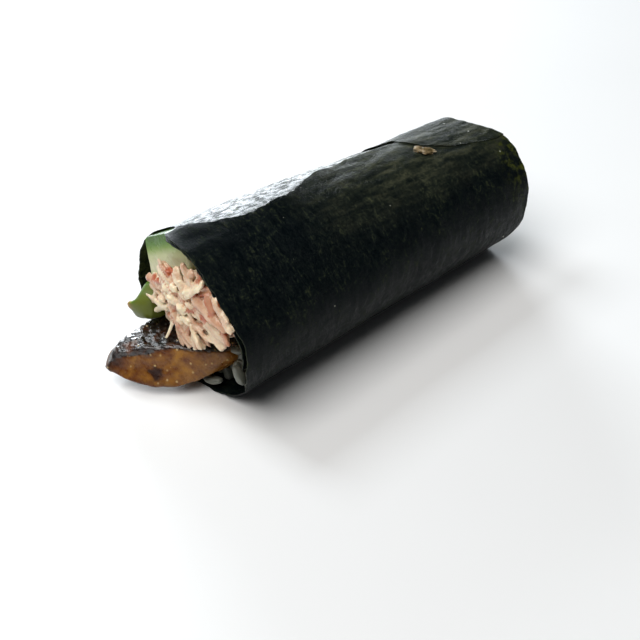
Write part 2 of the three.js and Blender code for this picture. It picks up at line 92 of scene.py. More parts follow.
# Camera
EYE = (210.3, -156.7, 209.3)
CAMERA_AZIMUTH = math.radians(46.7)
CAMERA_ELEVATION = math.radians(36.0)
SENSOR_WIDTH = 36
FOCAL_LENGTH = 73.06

back = Vector((
    math.sin(CAMERA_AZIMUTH) * math.cos(CAMERA_ELEVATION),
    -math.cos(CAMERA_AZIMUTH) * math.cos(CAMERA_ELEVATION),
    math.sin(CAMERA_ELEVATION),
))
bpy.ops.object.select_all(action="DESELECT")
bpy.ops.object.camera_add(location=in_scene(EYE))
camera = bpy.context.active_object
camera.name = "camera"
camera.rotation_mode = "QUATERNION"
camera.rotation_quaternion = (-back).to_track_quat("-Z", "Y")
camera.data.sensor_width = SENSOR_WIDTH
camera.data.lens = FOCAL_LENGTH
camera.data.clip_start = 0.01
camera.data.clip_end = 20
bpy.context.scene.camera = camera


# Light and floor
def soft_light(name, location, target, width, height, power, color):
    bpy.ops.object.light_add(type="AREA", location=location)
    light = bpy.context.active_object
    light.name = name
    light.data.shape = "RECTANGLE"
    light.data.size = width
    light.data.size_y = height
    light.data.energy = power
    light.data.color = color
    aim = Vector(target) - Vector(location)
    light.rotation_mode = "QUATERNION"
    light.rotation_quaternion = aim.to_track_quat("-Z", "Y")


# Two windows on the roll's left give the bright band and the eel's highlights.
# The soft top light is on the mouth's side.
soft_light("window", (-0.86, 0.46, 0.20), (0, 0.0, 0.03), 0.40, 0.34, 10.5, (0.88, 0.95, 1.0))
soft_light("side_window", (-0.66, -0.14, 0.74), (0, -0.04, 0.01), 0.30, 0.30, 4, (0.88, 0.95, 1.0))
soft_light("top_light", (0.05, -0.50, 1.0), (0, 0, 0), 0.9, 0.9, 12.5, (1.0, 0.99, 0.97))

world = bpy.data.worlds.new("studio")
world.use_nodes = True
surround = world.node_tree.nodes["Background"]
surround.inputs["Color"].default_value = (0.92, 0.96, 1.0, 1)
surround.inputs["Strength"].default_value = 0.04
bpy.context.scene.world = world
bpy.context.scene.view_settings.view_transform = "Standard"


# Material helpers
def new_material(name):
    material = bpy.data.materials.new(name)
    material.use_nodes = True
    return material, material.node_tree, material.node_tree.nodes["Principled BSDF"]


def put(tree, socket, value):
    """Link a pattern to a socket, or set the socket to a plain value."""
    if isinstance(value, bpy.types.NodeSocket):
        tree.links.new(value, socket)
    else:
        socket.default_value = value


def set_inputs(tree, node, values):
    for name, value in values.items():
        put(tree, node.inputs[name], value)


def new_node(tree, kind, values):
    node = tree.nodes.new(kind)
    set_inputs(tree, node, values)
    return node


def coordinates(tree, kind="Object"):
    return tree.nodes.new("ShaderNodeTexCoord").outputs[kind]


def stretched(tree, source, scale, turn=(0, 0, 0)):
    values = {"Vector": source, "Scale": scale, "Rotation": turn}
    return new_node(tree, "ShaderNodeMapping", values).outputs["Vector"]


def noise_pattern(tree, source, scale, detail=4.0, roughness=0.55, distortion=0.0):
    values = {
        "Vector": source,
        "Scale": scale,
        "Detail": detail,
        "Roughness": roughness,
        "Distortion": distortion,
    }
    return new_node(tree, "ShaderNodeTexNoise", values).outputs["Fac"]


def cell_pattern(tree, source, scale):
    return new_node(tree, "ShaderNodeTexVoronoi", {"Vector": source, "Scale": scale}).outputs["Distance"]


def ramp(tree, source, stops):
    node = new_node(tree, "ShaderNodeValToRGB", {"Fac": source})
    elements = node.color_ramp.elements
    while len(elements) < len(stops):
        elements.new(0.5)
    for element, (place, color) in zip(elements, stops):
        element.position = place
        element.color = (*color, 1)
    return node.outputs["Color"]


def spread(tree, source, low, high, to_low=0.0, to_high=1.0):
    values = {"Value": source, "From Min": low, "From Max": high, "To Min": to_low, "To Max": to_high}
    return new_node(tree, "ShaderNodeMapRange", values).outputs["Result"]


def combine(tree, operation, a, b):
    node = tree.nodes.new("ShaderNodeMath")
    node.operation = operation
    put(tree, node.inputs[0], a)
    put(tree, node.inputs[1], b)
    return node.outputs["Value"]


def product(tree, a, b):
    return combine(tree, "MULTIPLY", a, b)


def varied(tree, value, pattern, amount):
    """The value moved up and down by a pattern that swings about one half."""
    swing = product(tree, combine(tree, "SUBTRACT", pattern, 0.5), amount)
    return combine(tree, "ADD", value, swing)


def blend_colors(tree, share, first, second):
    """The first color, and the second where the share is high. The second may be a plain color."""
    node = tree.nodes.new("ShaderNodeMix")
    node.data_type = "RGBA"
    put(tree, node.inputs[0], share)
    put(tree, node.inputs[6], first)
    put(tree, node.inputs[7], (*second, 1) if isinstance(second, tuple) else second)
    return node.outputs[2]


def relief(tree, shader, height, strength, distance):
    values = {"Height": height, "Strength": strength, "Distance": distance}
    put(tree, shader.inputs["Normal"], new_node(tree, "ShaderNodeBump", values).outputs["Normal"])


def coat_follows_relief(tree, shader):
    """Give the coat the same relief as the surface under it."""
    put(tree, shader.inputs["Coat Normal"], shader.inputs["Normal"].links[0].from_socket)


def weighted(tree, *parts):
    """The sum of patterns, each with its share."""
    total = None
    for pattern, share in parts:
        part = product(tree, pattern, share)
        total = part if total is None else combine(tree, "ADD", total, part)
    return total


def attribute(tree, name):
    node = tree.nodes.new("ShaderNodeAttribute")
    node.attribute_name = name
    return node.outputs["Fac"]


def split(tree, source):
    return new_node(tree, "ShaderNodeSeparateXYZ", {"Vector": source}).outputs


# Materials
def nori_material():
    material, tree, shader = new_material("toasted_nori")
    place = coordinates(tree)
    sheet = coordinates(tree, "UV")
    patches = noise_pattern(tree, place, 95, 5, 0.6, 0.3)
    flecks = noise_pattern(tree, place, 640, 7, 0.72, 1.2)
    # The flanks are streaked round the roll, the top of the far end along it
    bands = noise_pattern(tree, stretched(tree, sheet, (9, 22, 1)), 3.2, 7, 0.7, 1.4)
    streaks = noise_pattern(tree, stretched(tree, place, (1, 0.22, 1)), 520, 6, 0.65)
    mottle = weighted(tree, (patches, 0.20), (flecks, 0.48), (bands, 0.32))
    color = ramp(tree, mottle, [
        (0.44, (0.0004, 0.0020, 0.0030)),
        (0.52, (0.0015, 0.0042, 0.0046)),
        (0.56, (0.0090, 0.0135, 0.0085)),
        (0.63, (0.0420, 0.0480, 0.0210)),
    ])
    axes = split(tree, place)
    # The top of the far end is painted lighter and olive-grey, streaked along the roll: a painted reflection
    # of the sky on its flat top
    high = spread(tree, axes["Z"], 0.031, 0.040)
    far = spread(tree, axes["Y"], -0.018, 0.026)
    sky_sheen_share = product(tree, product(tree, high, far), 0.85)
    sky_sheen = ramp(tree, weighted(tree, (streaks, 0.65), (flecks, 0.35)), [
        (0.40, (0.0075, 0.0110, 0.0085)),
        (0.50, (0.0260, 0.0310, 0.0190)),
        (0.62, (0.0800, 0.0820, 0.0480)),
    ])
    color = blend_colors(tree, sky_sheen_share, color, sky_sheen)
    # The inside is painted lighter and more olive, as painted light on the inner wall, but for the shaded
    # bottom
    inner = ramp(tree, flecks, [(0.42, (0.0060, 0.0100, 0.0070)), (0.60, (0.0480, 0.0560, 0.0200))])
    inner_painted_light = product(tree, attribute(tree, "inner_side"), spread(tree, axes["Z"], 0.008, 0.022))
    color = blend_colors(tree, inner_painted_light, color, inner)
    # Light shining through the thin rim is painted in green patches, and a few pale specks are painted on the
    # sheet as painted glints
    patchy = spread(tree, noise_pattern(tree, place, 430, 6, 0.68), 0.49, 0.62)
    glow = product(tree, attribute(tree, "thin_rim"), patchy)
    color = blend_colors(tree, glow, color, (0.060, 0.070, 0.010))
    glint_specks = spread(tree, cell_pattern(tree, place, 150), 0.046, 0.030)
    color = blend_colors(tree, product(tree, glint_specks, 0.8), color, (0.35, 0.36, 0.30))
    # The strip beside the seam is the smooth side of the sheet, and glossy
    outer_side = spread(tree, attribute(tree, "inner_side"), 0, 1, 1, 0)
    glossy = product(tree, attribute(tree, "glossy"), outer_side)
    fine = noise_pattern(tree, stretched(tree, place, (1, 0.5, 1)), 760, 5, 0.65)
    set_inputs(tree, shader, {
        "Base Color": color,
        "Roughness": spread(tree, weighted(tree, (flecks, 0.4), (bands, 0.6)), 0.42, 0.60, 0.36, 0.72),
        "Specular IOR Level": 0.11,
        "Coat Weight": product(tree, glossy, spread(tree, fine, 0.42, 0.56, 0.03, 0.9)),
        "Coat Roughness": 0.28,
    })
    height = weighted(tree, (flecks, 0.9), (bands, 0.6), (fine, 0.3))
    height = combine(tree, "ADD", height, product(tree, product(tree, glossy, fine), 2.2))
    relief(tree, shader, height, 0.6, 0.00035)
    coat_follows_relief(tree, shader)
    return material


def eel_material():
    material, tree, shader = new_material("glazed_eel")
    place = coordinates(tree)
    skin = attribute(tree, "skin")
    darker_flesh = attribute(tree, "darker_flesh")
    broad = noise_pattern(tree, place, 130, 5, 0.6, 0.6)
    fine = noise_pattern(tree, place, 700, 5, 0.6)
    flesh = ramp(tree, weighted(tree, (broad, 0.7), (fine, 0.3)), [
        (0.36, (0.048, 0.011, 0.0015)),
        (0.45, (0.118, 0.033, 0.003)),
        (0.54, (0.185, 0.067, 0.005)),
        (0.66, (0.300, 0.130, 0.012)),
    ])
    char = ramp(tree, noise_pattern(tree, place, 240, 6, 0.65, 1.0), [
        (0.42, (0.0060, 0.0030, 0.0026)),
        (0.54, (0.0170, 0.0065, 0.0035)),
        (0.66, (0.0850, 0.0260, 0.0080)),
    ])
    flesh = blend_colors(tree, darker_flesh, flesh, (0.022, 0.006, 0.0025))
    color = blend_colors(tree, skin, flesh, char)
    # Small bubbles in the flesh, painted paler: partly their own colour, partly painted glints on them
    bubbles_and_glints = spread(tree, cell_pattern(tree, place, 520), 0.22, 0.10)
    bubbles_and_glints = product(tree, bubbles_and_glints, spread(tree, broad, 0.44, 0.54))
    set_inputs(tree, shader, {
        "Base Color": blend_colors(tree, product(tree, bubbles_and_glints, 0.8), color, (0.60, 0.42, 0.18)),
        "Roughness": spread(tree, fine, 0.3, 0.7, 0.20, 0.50),
        "Specular IOR Level": 0.30,
        "Subsurface Weight": 0.08,
        "Subsurface Radius": (1.0, 0.4, 0.1),
        "Subsurface Scale": 0.0015,
        "Coat Weight": spread(tree, skin, 0, 1, 0.16, 1.0),
        "Coat Roughness": 0.07,
    })
    grain = noise_pattern(tree, place, 420, 5, 0.6, 0.6)
    crackle = product(tree, noise_pattern(tree, place, 900, 4, 0.6, 0.5), skin)
    height = weighted(tree, (grain, 1.0), (fine, 0.5), (bubbles_and_glints, 0.5), (crackle, 0.4))
    relief(tree, shader, height, 0.6, 0.0005)
    coat_follows_relief(tree, shader)
    return material


def crab_material():
    material, tree, shader = new_material("crab_and_mayonnaise")
    place = coordinates(tree)
    tint = attribute(tree, "tint")
    soft = noise_pattern(tree, place, 330, 4, 0.6)
    patchy = noise_pattern(tree, place, 150, 3, 0.5)
    warmth = varied(tree, varied(tree, tint, soft, 0.7), patchy, 0.5)
    color = ramp(tree, warmth, [
        (0.0, (0.80, 0.66, 0.45)),
        (0.26, (0.64, 0.43, 0.28)),
        (0.54, (0.50, 0.235, 0.135)),
        (0.88, (0.42, 0.085, 0.020)),
    ])
    set_inputs(tree, shader, {
        "Base Color": color,
        "Roughness": spread(tree, soft, 0.3, 0.7, 0.25, 0.5),
        "Subsurface Weight": 0.25,
        "Subsurface Radius": (1.0, 0.5, 0.35),
        "Subsurface Scale": 0.0010,
        "Coat Weight": 0.6,
        "Coat Roughness": 0.12,
    })
    leaning = stretched(tree, place, (1, 1, 0.35), (0, math.radians(-40), 0))
    fibres = noise_pattern(tree, leaning, 1500, 4, 0.6)
    relief(tree, shader, weighted(tree, (fibres, 1.0), (soft, 0.7)), 0.6, 0.00035)
    return material


def rice_material():
    material, tree, shader = new_material("cooked_rice")
    place = coordinates(tree)
    soft = noise_pattern(tree, place, 260, 4, 0.6)
    color = ramp(tree, soft, [(0.35, (0.40, 0.42, 0.36)), (0.65, (0.55, 0.56, 0.49))])
    # At the mouth the grains are painted dark grey, as painted shade where they lie under the eel
    mouth_shade = spread(tree, split(tree, place)["Y"], -0.033, -0.039)
    set_inputs(tree, shader, {
        "Base Color": blend_colors(tree, mouth_shade, color, (0.130, 0.136, 0.112)),
        "Roughness": spread(tree, soft, 0.3, 0.7, 0.3, 0.48),
        "Subsurface Weight": 0.4,
        "Subsurface Radius": (1.0, 0.9, 0.7),
        "Subsurface Scale": 0.0015,
    })
    relief(tree, shader, noise_pattern(tree, place, 900, 3, 0.5), 0.3, 0.0002)
    return material


def cucumber_material():
    material, tree, shader = new_material("cucumber_flesh")
    section = split(tree, coordinates(tree, "UV"))
    place = coordinates(tree)
    # Depth below the skin, which runs along the stick's upper left side
    depth = weighted(tree, (section["X"], 0.496), (section["Y"], -0.868))
    wobble = noise_pattern(tree, place, 300, 3, 0.5)
    depth = varied(tree, depth, wobble, 0.012)
    color = ramp(tree, spread(tree, depth, -0.404, -0.284), [
        (0.0, (0.040, 0.115, 0.004)),
        (0.16, (0.075, 0.175, 0.008)),
        (0.27, (0.185, 0.290, 0.045)),
        (0.42, (0.520, 0.550, 0.290)),
        (0.68, (0.640, 0.620, 0.410)),
        (0.86, (0.430, 0.470, 0.170)),
        (1.0, (0.270, 0.350, 0.070)),
    ])
    set_inputs(tree, shader, {
        "Base Color": color,
        "Roughness": spread(tree, wobble, 0.3, 0.7, 0.2, 0.4),
        "Specular IOR Level": 0.3,
        "Subsurface Weight": 0.2,
        "Subsurface Radius": (0.7, 1.0, 0.4),
        "Subsurface Scale": 0.0015,
        "Coat Weight": 0.06,
        "Coat Roughness": 0.15,
    })
    relief(tree, shader, noise_pattern(tree, place, 800, 4, 0.6), 0.25, 0.0002)
    return material


def avocado_material():
    material, tree, shader = new_material("avocado_flesh")
    place = coordinates(tree)
    rind = attribute(tree, "rind")
    soft = noise_pattern(tree, place, 200, 4, 0.6)
    color = ramp(tree, varied(tree, rind, soft, 0.3), [
        (0.0, (0.105, 0.125, 0.014)),
        (0.45, (0.090, 0.128, 0.012)),
        (0.70, (0.075, 0.140, 0.010)),
        (0.90, (0.180, 0.320, 0.022)),
    ])
    set_inputs(tree, shader, {
        "Base Color": blend_colors(tree, attribute(tree, "bruise"), color, (0.36, 0.155, 0.03)),
        "Roughness": spread(tree, soft, 0.3, 0.7, 0.32, 0.5),
        "Specular IOR Level": 0.3,
        "Subsurface Weight": 0.2,
        "Subsurface Radius": (0.8, 1.0, 0.3),
        "Subsurface Scale": 0.002,
    })
    relief(tree, shader, noise_pattern(tree, place, 500, 4, 0.6), 0.3, 0.0003)
    return material


def crumb_material():
    material, tree, shader = new_material("crumb_on_the_nori")
    place = coordinates(tree)
    pattern = noise_pattern(tree, place, 420, 4, 0.6)
    color = ramp(tree, pattern, [
        (0.38, (0.060, 0.042, 0.012)),
        (0.50, (0.24, 0.17, 0.085)),
        (0.62, (0.46, 0.38, 0.26)),
    ])
    set_inputs(tree, shader, {
        "Base Color": color,
        "Roughness": spread(tree, pattern, 0.3, 0.7, 0.3, 0.5),
    })
    relief(tree, shader, pattern, 0.5, 0.0004)
    return material


def floor_material():
    material, tree, shader = new_material("pale_floor")
    clouds = noise_pattern(tree, coordinates(tree), 6, 3)
    color = ramp(tree, clouds, [(0.3, (0.84, 0.84, 0.84)), (0.7, (0.87, 0.87, 0.87))])
    set_inputs(tree, shader, {"Base Color": color, "Roughness": 0.6})
    return material


# Mesh helpers
def only(piece):
    if bpy.context.object and bpy.context.object.mode != "OBJECT":
        bpy.ops.object.mode_set(mode="OBJECT")
    bpy.ops.object.select_all(action="DESELECT")
    piece.select_set(True)
    bpy.context.view_layer.objects.active = piece


def points_of(piece):
    flat = np.empty(len(piece.data.vertices) * 3)
    piece.data.vertices.foreach_get("co", flat)
    return flat.reshape(-1, 3)


def move_points(piece, points):
    piece.data.vertices.foreach_set("co", np.asarray(points, float).ravel())
    piece.data.update()


def in_millimetres(piece):
    return points_of(piece) * MILLIMETRES_PER_METRE + MIDDLE


def new_ball(subdivisions):
    bpy.ops.object.select_all(action="DESELECT")
    bpy.ops.mesh.primitive_ico_sphere_add(subdivisions=subdivisions, radius=1)
    return bpy.context.active_object


def new_grid(columns, rows):
    bpy.ops.object.select_all(action="DESELECT")
    bpy.ops.mesh.primitive_grid_add(x_subdivisions=columns, y_subdivisions=rows, size=1)
    return bpy.context.active_object


def copy_with(base, points):
    """A copy of a piece with a mesh of its own, its points at these places in millimetres."""
    copy = base.copy()
    copy.data = base.data.copy()
    bpy.context.collection.objects.link(copy)
    move_points(copy, in_scene(points))
    return copy


def add_values(piece, name, values):
    layer = piece.data.attributes.new(name, "FLOAT", "POINT")
    layer.data.foreach_set("value", np.asarray(values, float))


def finish_piece(piece, name, material, slot, *nodes, angle=40):
    only(piece)
    piece.name = name
    piece.data.name = name
    piece.data.materials.clear()
    piece.data.materials.append(material)
    bpy.ops.object.shade_smooth_by_angle(angle=math.radians(angle))
    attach(piece, "root")
    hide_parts(*nodes)


def drawn_out(rings):
    """A closed body drawn out of one end face, ring by ring. Rings are in millimetres."""
    count = len(rings[0])
    bpy.ops.object.select_all(action="DESELECT")
    bpy.ops.mesh.primitive_circle_add(vertices=count, radius=0.01, fill_type="NGON")
    piece = bpy.context.active_object
    bpy.ops.object.mode_set(mode="EDIT")
    mesh = bmesh.from_edit_mesh(piece.data)
    corner = mesh.verts.layers.int.new("corner")
    station = mesh.verts.layers.int.new("station")
    for number, vertex in enumerate(mesh.verts):
        vertex[corner] = number
        vertex[station] = 0
        vertex.co = Vector(in_scene(rings[0][number]))
    for level, ring in enumerate(rings[1:], start=1):
        bmesh.update_edit_mesh(piece.data)
        bpy.ops.mesh.extrude_region_move(TRANSFORM_OT_translate={"value": (0, 0, 0)})
        mesh = bmesh.from_edit_mesh(piece.data)
        corner = mesh.verts.layers.int["corner"]
        station = mesh.verts.layers.int["station"]
        placed = in_scene(ring)
        for vertex in mesh.verts:
            if vertex.select:
                vertex.co = Vector(placed[vertex[corner]])
                vertex[station] = level
    bmesh.update_edit_mesh(piece.data)
    bpy.ops.mesh.select_all(action="SELECT")
    bpy.ops.mesh.normals_make_consistent(inside=False)
    bpy.ops.object.mode_set(mode="OBJECT")
    return piece


def whole_numbers(piece, name):
    values = np.empty(len(piece.data.vertices), dtype=np.int32)
    piece.data.attributes[name].data.foreach_get("value", values)
    return values


def section_uv(piece, outline_points):
    """The place within the section, in tenths of a metre, as the piece's UV."""
    if not piece.data.uv_layers:
        piece.data.uv_layers.new(name="section")
    corner = whole_numbers(piece, "corner")
    vertex_of_loop = np.empty(len(piece.data.loops), dtype=np.int32)
    piece.data.loops.foreach_get("vertex_index", vertex_of_loop)
    uv = np.asarray(outline_points, float)[corner[vertex_of_loop]] / 100
    piece.data.uv_layers[0].data.foreach_set("uv", uv.ravel())


# Shape of the roll
def bump(value, centre, half_width):
    offset = (np.asarray(value, float) - centre) / half_width
    return np.where(np.abs(offset) < 1, (1 - offset * offset) ** 2, 0.0)


def smooth(value, low, high):
    t = np.clip((np.asarray(value, float) - low) / (high - low), 0, 1)
    return t * t * (3 - 2 * t)


def wrap_angle(deg):
    return (np.asarray(deg, float) + 180) % 360 - 180


def roll_factor(deg, y):
    angle = wrap_angle(deg)
    near = 1 - smooth(y, 20, 95)
    far = smooth(y, 70, 100)
    factor = 1 - (0.055 + 0.075 * near) * bump(angle, 38, 50)
    factor = factor + 0.02 * near * bump(angle, -56, 26)
    factor = factor - 0.03 * bump(angle, 122, 34)
    factor = factor - 0.02 * near * bump(angle, -22, 30)
    factor = factor - 0.09 * far * bump(angle, -6, 34)
    factor = factor + 0.05 * far * bump(angle, -42, 22)
    return factor


def half_width(y):
    return MOUTH_HALF_WIDTH + (FAR_HALF_WIDTH - MOUTH_HALF_WIDTH) * np.asarray(y, float) / ROLL_LENGTH


def half_height(y):
    return MOUTH_HALF_HEIGHT + (FAR_HALF_HEIGHT - MOUTH_HALF_HEIGHT) * np.asarray(y, float) / ROLL_LENGTH


def wall_points(deg, y, inset):
    factor = roll_factor(deg, y)
    angle = np.radians(deg)
    x = (half_width(y) * factor - inset) * np.sin(angle)
    z = half_height(y) - SETTLE + (half_height(y) * factor - inset) * np.cos(angle)
    return np.stack([x, y + np.zeros_like(x), z], axis=-1)


def carry(x, z, y):
    u = np.asarray(x, float) / MOUTH_HALF_WIDTH
    v = (np.asarray(z, float) - (MOUTH_HALF_HEIGHT - SETTLE)) / MOUTH_HALF_HEIGHT
    deg = np.degrees(np.arctan2(u, v))
    factor = roll_factor(deg, y) * np.hypot(u, v) / roll_factor(deg, 0)
    angle = np.radians(deg)
    across = half_width(y) * factor * np.sin(angle)
    up = half_height(y) - SETTLE + half_height(y) * factor * np.cos(angle)
    return np.stack([across, y + np.zeros_like(across), up], axis=-1)


def seam_angle(y):
    return -13 + 12 * bump(y, 26, 24) - 5 * smooth(y, 36, 60)


def mouth_rim(deg):
    angle = wrap_angle(deg)
    front = smooth(angle, -38, -4) * (1 - smooth(angle, 96, 138))
    waves = 0.35 * np.sin(np.radians(5 * angle + 40)) + 0.8 * bump(angle, -44, 22)
    # Over the cucumber the sheet stands back
    return waves - MOUTH_RIM_OUT * front + 4.2 * bump(angle, -29, 19)


def far_rim(deg):
    angle = wrap_angle(deg)
    return FAR_RIM + 3.4 * bump(angle, 34, 48) + 1.6 * bump(angle, 72, 30)


def limit_arc(start, end, steps, fraction=FILL_FRACTION):
    deg = np.linspace(start, end, steps + 1)
    factor = roll_factor(deg, 0) * fraction
    x = MOUTH_HALF_WIDTH * factor * np.sin(np.radians(deg))
    z = MOUTH_HALF_HEIGHT - SETTLE + MOUTH_HALF_HEIGHT * factor * np.cos(np.radians(deg))
    return list(zip(x, z))


def rounded(corners, radius):
    outline = []
    count = len(corners)
    for i in range(count):
        before = np.array(corners[i - 1], float)
        here = np.array(corners[i], float)
        after = np.array(corners[(i + 1) % count], float)
        start = here + (before - here) * min(0.45, radius / np.linalg.norm(before - here))
        end = here + (after - here) * min(0.45, radius / np.linalg.norm(after - here))
        for t in np.linspace(0, 1, CORNER_STEPS):
            outline.append(start * (1 - t) ** 2 + here * 2 * t * (1 - t) + end * t ** 2)
    return np.array(outline)


def resampled(outline, count):
    """The same closed outline with that number of evenly spaced points."""
    closed = np.vstack([outline, outline[:1]])
    lengths = np.linalg.norm(np.diff(closed, axis=0), axis=1)
    places = np.concatenate([[0], np.cumsum(lengths)])
    targets = np.linspace(0, places[-1], count, endpoint=False)
    return np.stack([np.interp(targets, places, closed[:, k]) for k in (0, 1)], axis=1)


def about_middle(outline, scale):
    middle = outline.mean(axis=0)
    return middle + (outline - middle) * scale


def placed(section, y):
    """The section as a ring: as drawn before the mouth's plane, carried along the roll behind it."""
    if y > 0:
        return carry(*section.T, y)
    return np.stack([section[:, 0], np.full(len(section), y), section[:, 1]], axis=1)


def eased(rings, last, rounds):
    """The rings, those between the first and the last of these drawn towards their neighbours."""
    stack = np.array(rings)
    for _ in range(rounds):
        stack[1:last] = 0.5 * stack[1:last] + 0.25 * (stack[: last - 1] + stack[2 : last + 1])
    return stack


def away_from(centre, points, least):
    """The way out of a middle line at each point, shorter than 1 only where that point is near the line."""
    away = points - centre
    away[:, 1] = 0
    return away / np.maximum(np.linalg.norm(away, axis=1), least)[:, None]


def refine_end_faces(piece, cuts):
    """Turn the two many-sided end faces into small triangles."""
    only(piece)
    bpy.ops.object.mode_set(mode="EDIT")
    bpy.ops.mesh.select_mode(type="FACE")
    bpy.ops.mesh.select_all(action="DESELECT")
    bpy.ops.object.mode_set(mode="OBJECT")
    for face in piece.data.polygons:
        face.select = len(face.vertices) > 4
    bpy.ops.object.mode_set(mode="EDIT")
    bpy.ops.mesh.poke()
    bpy.ops.mesh.subdivide(number_cuts=cuts)
    bpy.ops.mesh.select_mode(type="VERT")
    bpy.ops.object.mode_set(mode="OBJECT")


def random_source(seed):
    state = seed

    def draw():
        nonlocal state
        state = (state * 1664525 + 1013904223) % 4294967296
        return state / 4294967296

    return draw


def inside_outline(x, z, outline):
    inside = False
    for (xi, zi), (xj, zj) in zip(outline, [outline[-1], *outline[:-1]]):
        if (zi > z) != (zj > z) and x < (xj - xi) * (z - zi) / (zj - zi) + xi:
            inside = not inside
    return inside


def ripple(points, scale, seed=0.0):
    """Smooth noise from -1 to 1 at points in millimetres, for features about as big as scale."""
    return np.array([noise.noise(Vector(p) / scale + Vector((seed, seed, seed))) for p in points])


def unit(vector):
    return vector / np.linalg.norm(vector)


def scattered(draw, x_range, z_range, steps, jitter):
    """Places in rows over a section, each moved a little by two draws."""
    z = z_range[0]
    while z < z_range[1]:
        x = x_range[0]
        while x < x_range[1]:
            yield x + (draw() - 0.5) * jitter[0], z + (draw() - 0.5) * jitter[1]
            x += steps[0]
        z += steps[1]


def noise_line(places, scale, row):
    """Smooth noise from -1 to 1 along a line, for features about as long as scale."""
    return np.array([noise.noise(Vector((place / scale, row, 0))) for place in places])


# Nori sheet
def surface_waves(deg, y):
    """How far the rolled sheet stands out of its even shape, in dents and small crinkles."""
    angle = np.radians(deg)
    places = np.stack([AXIS_TO_WALL * np.sin(angle), y, AXIS_TO_WALL * np.cos(angle)], axis=-1)
    calm_mouth = 0.3 + 0.7 * smooth(y, -2, 8)
    dents = 0.40 * ripple(places, 17) + 0.20 * ripple(places, 7, 5.3)
    top_side = bump(wrap_angle(deg), -8, 62)
    along = places * np.array([1, 0.28, 1])
    crinkles = 0.22 * ripple(along, 2.4, 2.2) * top_side * (0.45 + 0.55 * smooth(y, 30, 62))
    around = np.stack([places[:, 0] * 0.3, y, places[:, 2] * 0.3], axis=-1)
    creases = 0.30 * ripple(around, 2.2, 8.1) * bump(wrap_angle(deg), 100, 70)
    grain = 0.08 * ripple(places, 1.7, 9.1)
    swell = 1.1 * bump(wrap_angle(deg), -38, 36) * bump(y, 40, 40)
    return dents * calm_mouth + crinkles + creases + grain + swell


def outward_at(deg):
    angle = np.radians(deg)
    return np.stack([np.sin(angle), np.zeros_like(angle), np.cos(angle)], axis=-1)


def face_out_of_roll(piece):
    """Turn the faces of a rolled sheet so that they point away from the roll's middle."""
    only(piece)
    face = piece.data.polygons[len(piece.data.polygons) // 2]
    away = Vector((face.center.x, 0, face.center.z - AXIS_HEIGHT / MILLIMETRES_PER_METRE))
    if face.normal.dot(away) < 0:
        bpy.ops.object.mode_set(mode="EDIT")
        bpy.ops.mesh.select_all(action="SELECT")
        bpy.ops.mesh.flip_normals()
        bpy.ops.object.mode_set(mode="OBJECT")


def give_thickness(piece, thickness):
    outer_points = len(piece.data.vertices)
    wall = piece.modifiers.new("thickness", "SOLIDIFY")
    wall.thickness = thickness / MILLIMETRES_PER_METRE
    wall.offset = -1
    bpy.ops.object.modifier_apply(modifier=wall.name)
    add_values(piece, "inner_side", np.arange(len(piece.data.vertices)) >= outer_points)


def nori_sheet():
    piece = new_grid(*SHEET_GRID)
    flat = points_of(piece)
    travel = (flat[:, 0] + 0.5) * (360 + NORI_OVERLAP)
    row = flat[:, 1] + 0.5
    nominal = row * ROLL_LENGTH
    # The free edge and both rims are a little ragged
    ragged = noise_line(nominal, 2.8, 3.1) + 0.5 * noise_line(nominal, 1.0, 6.4)
    deg = seam_angle(nominal) + travel + ragged * 2.2 * (1 - smooth(travel, 0, 6))
    torn = noise_line(deg, 9.0, 7.7)
    nicks = noise_line(deg, 2.5, 1.3)
    near_edge = mouth_rim(deg) + 0.45 * torn + 0.28 * nicks
    far_edge = far_rim(deg) + 0.45 * torn - 0.18 * nicks
    y = near_edge + (far_edge - near_edge) * row
    # The outermost turn lies down on the one below except at its edge, which has sprung up a little
    sprung = 0.25 + 0.75 * bump(nominal, 6, 7) + 0.85 * bump(nominal, 29, 9) + 0.4 * bump(nominal, 47, 7)
    edge_lift = sprung * (1 - smooth(travel, 0, 15)) * (1 - 0.9 * smooth(nominal, 60, 72))
    press = (PLY_PITCH - SHEET_THICKNESS - 0.12) * smooth(travel, 0, 6) * (1 - smooth(travel, 14, 40))
    # The innermost turn has come away from the outer one at the mouth
    gap = 1.1 * smooth(travel, 415, 450) * (1 - smooth(y, 4, 20))
    inset = PLY_PITCH * travel / 360 + press - edge_lift + gap
    points = wall_points(deg, y, inset) + outward_at(deg) * surface_waves(deg, y)[:, None]
    points[:, 2] = np.maximum(points[:, 2], 0.0)
    # Where light shining through the thin far rim is painted as a green glow
    thin = smooth(y, 95, 106) * bump(wrap_angle(deg), 48, 60)
    beside_seam = smooth(travel, 300, 326) * (1 - smooth(travel, 364, 372))
    glossy = beside_seam * smooth(y, -4, 2) * (1 - 0.75 * smooth(y, 52, 72))
    glossy = np.maximum(glossy, 0.8 * (1 - smooth(travel, 0.2, 2.2)) * (1 - smooth(y, 55, 70)))
    move_points(piece, in_scene(points))
    add_values(piece, "thin_rim", thin)
    add_values(piece, "glossy", glossy)
    face_out_of_roll(piece)
    give_thickness(piece, SHEET_THICKNESS)
    return piece


# The flap's free edge: angle round the roll and place along it
FLAP_EDGE = [
    (-70, 70), (-40, 72.5), (-26, 77.6), (-14.5, 76.6), (-5.5, 79),
    (0, 81), (6, 85), (12, 89), (17, 95), (22, 103),
]


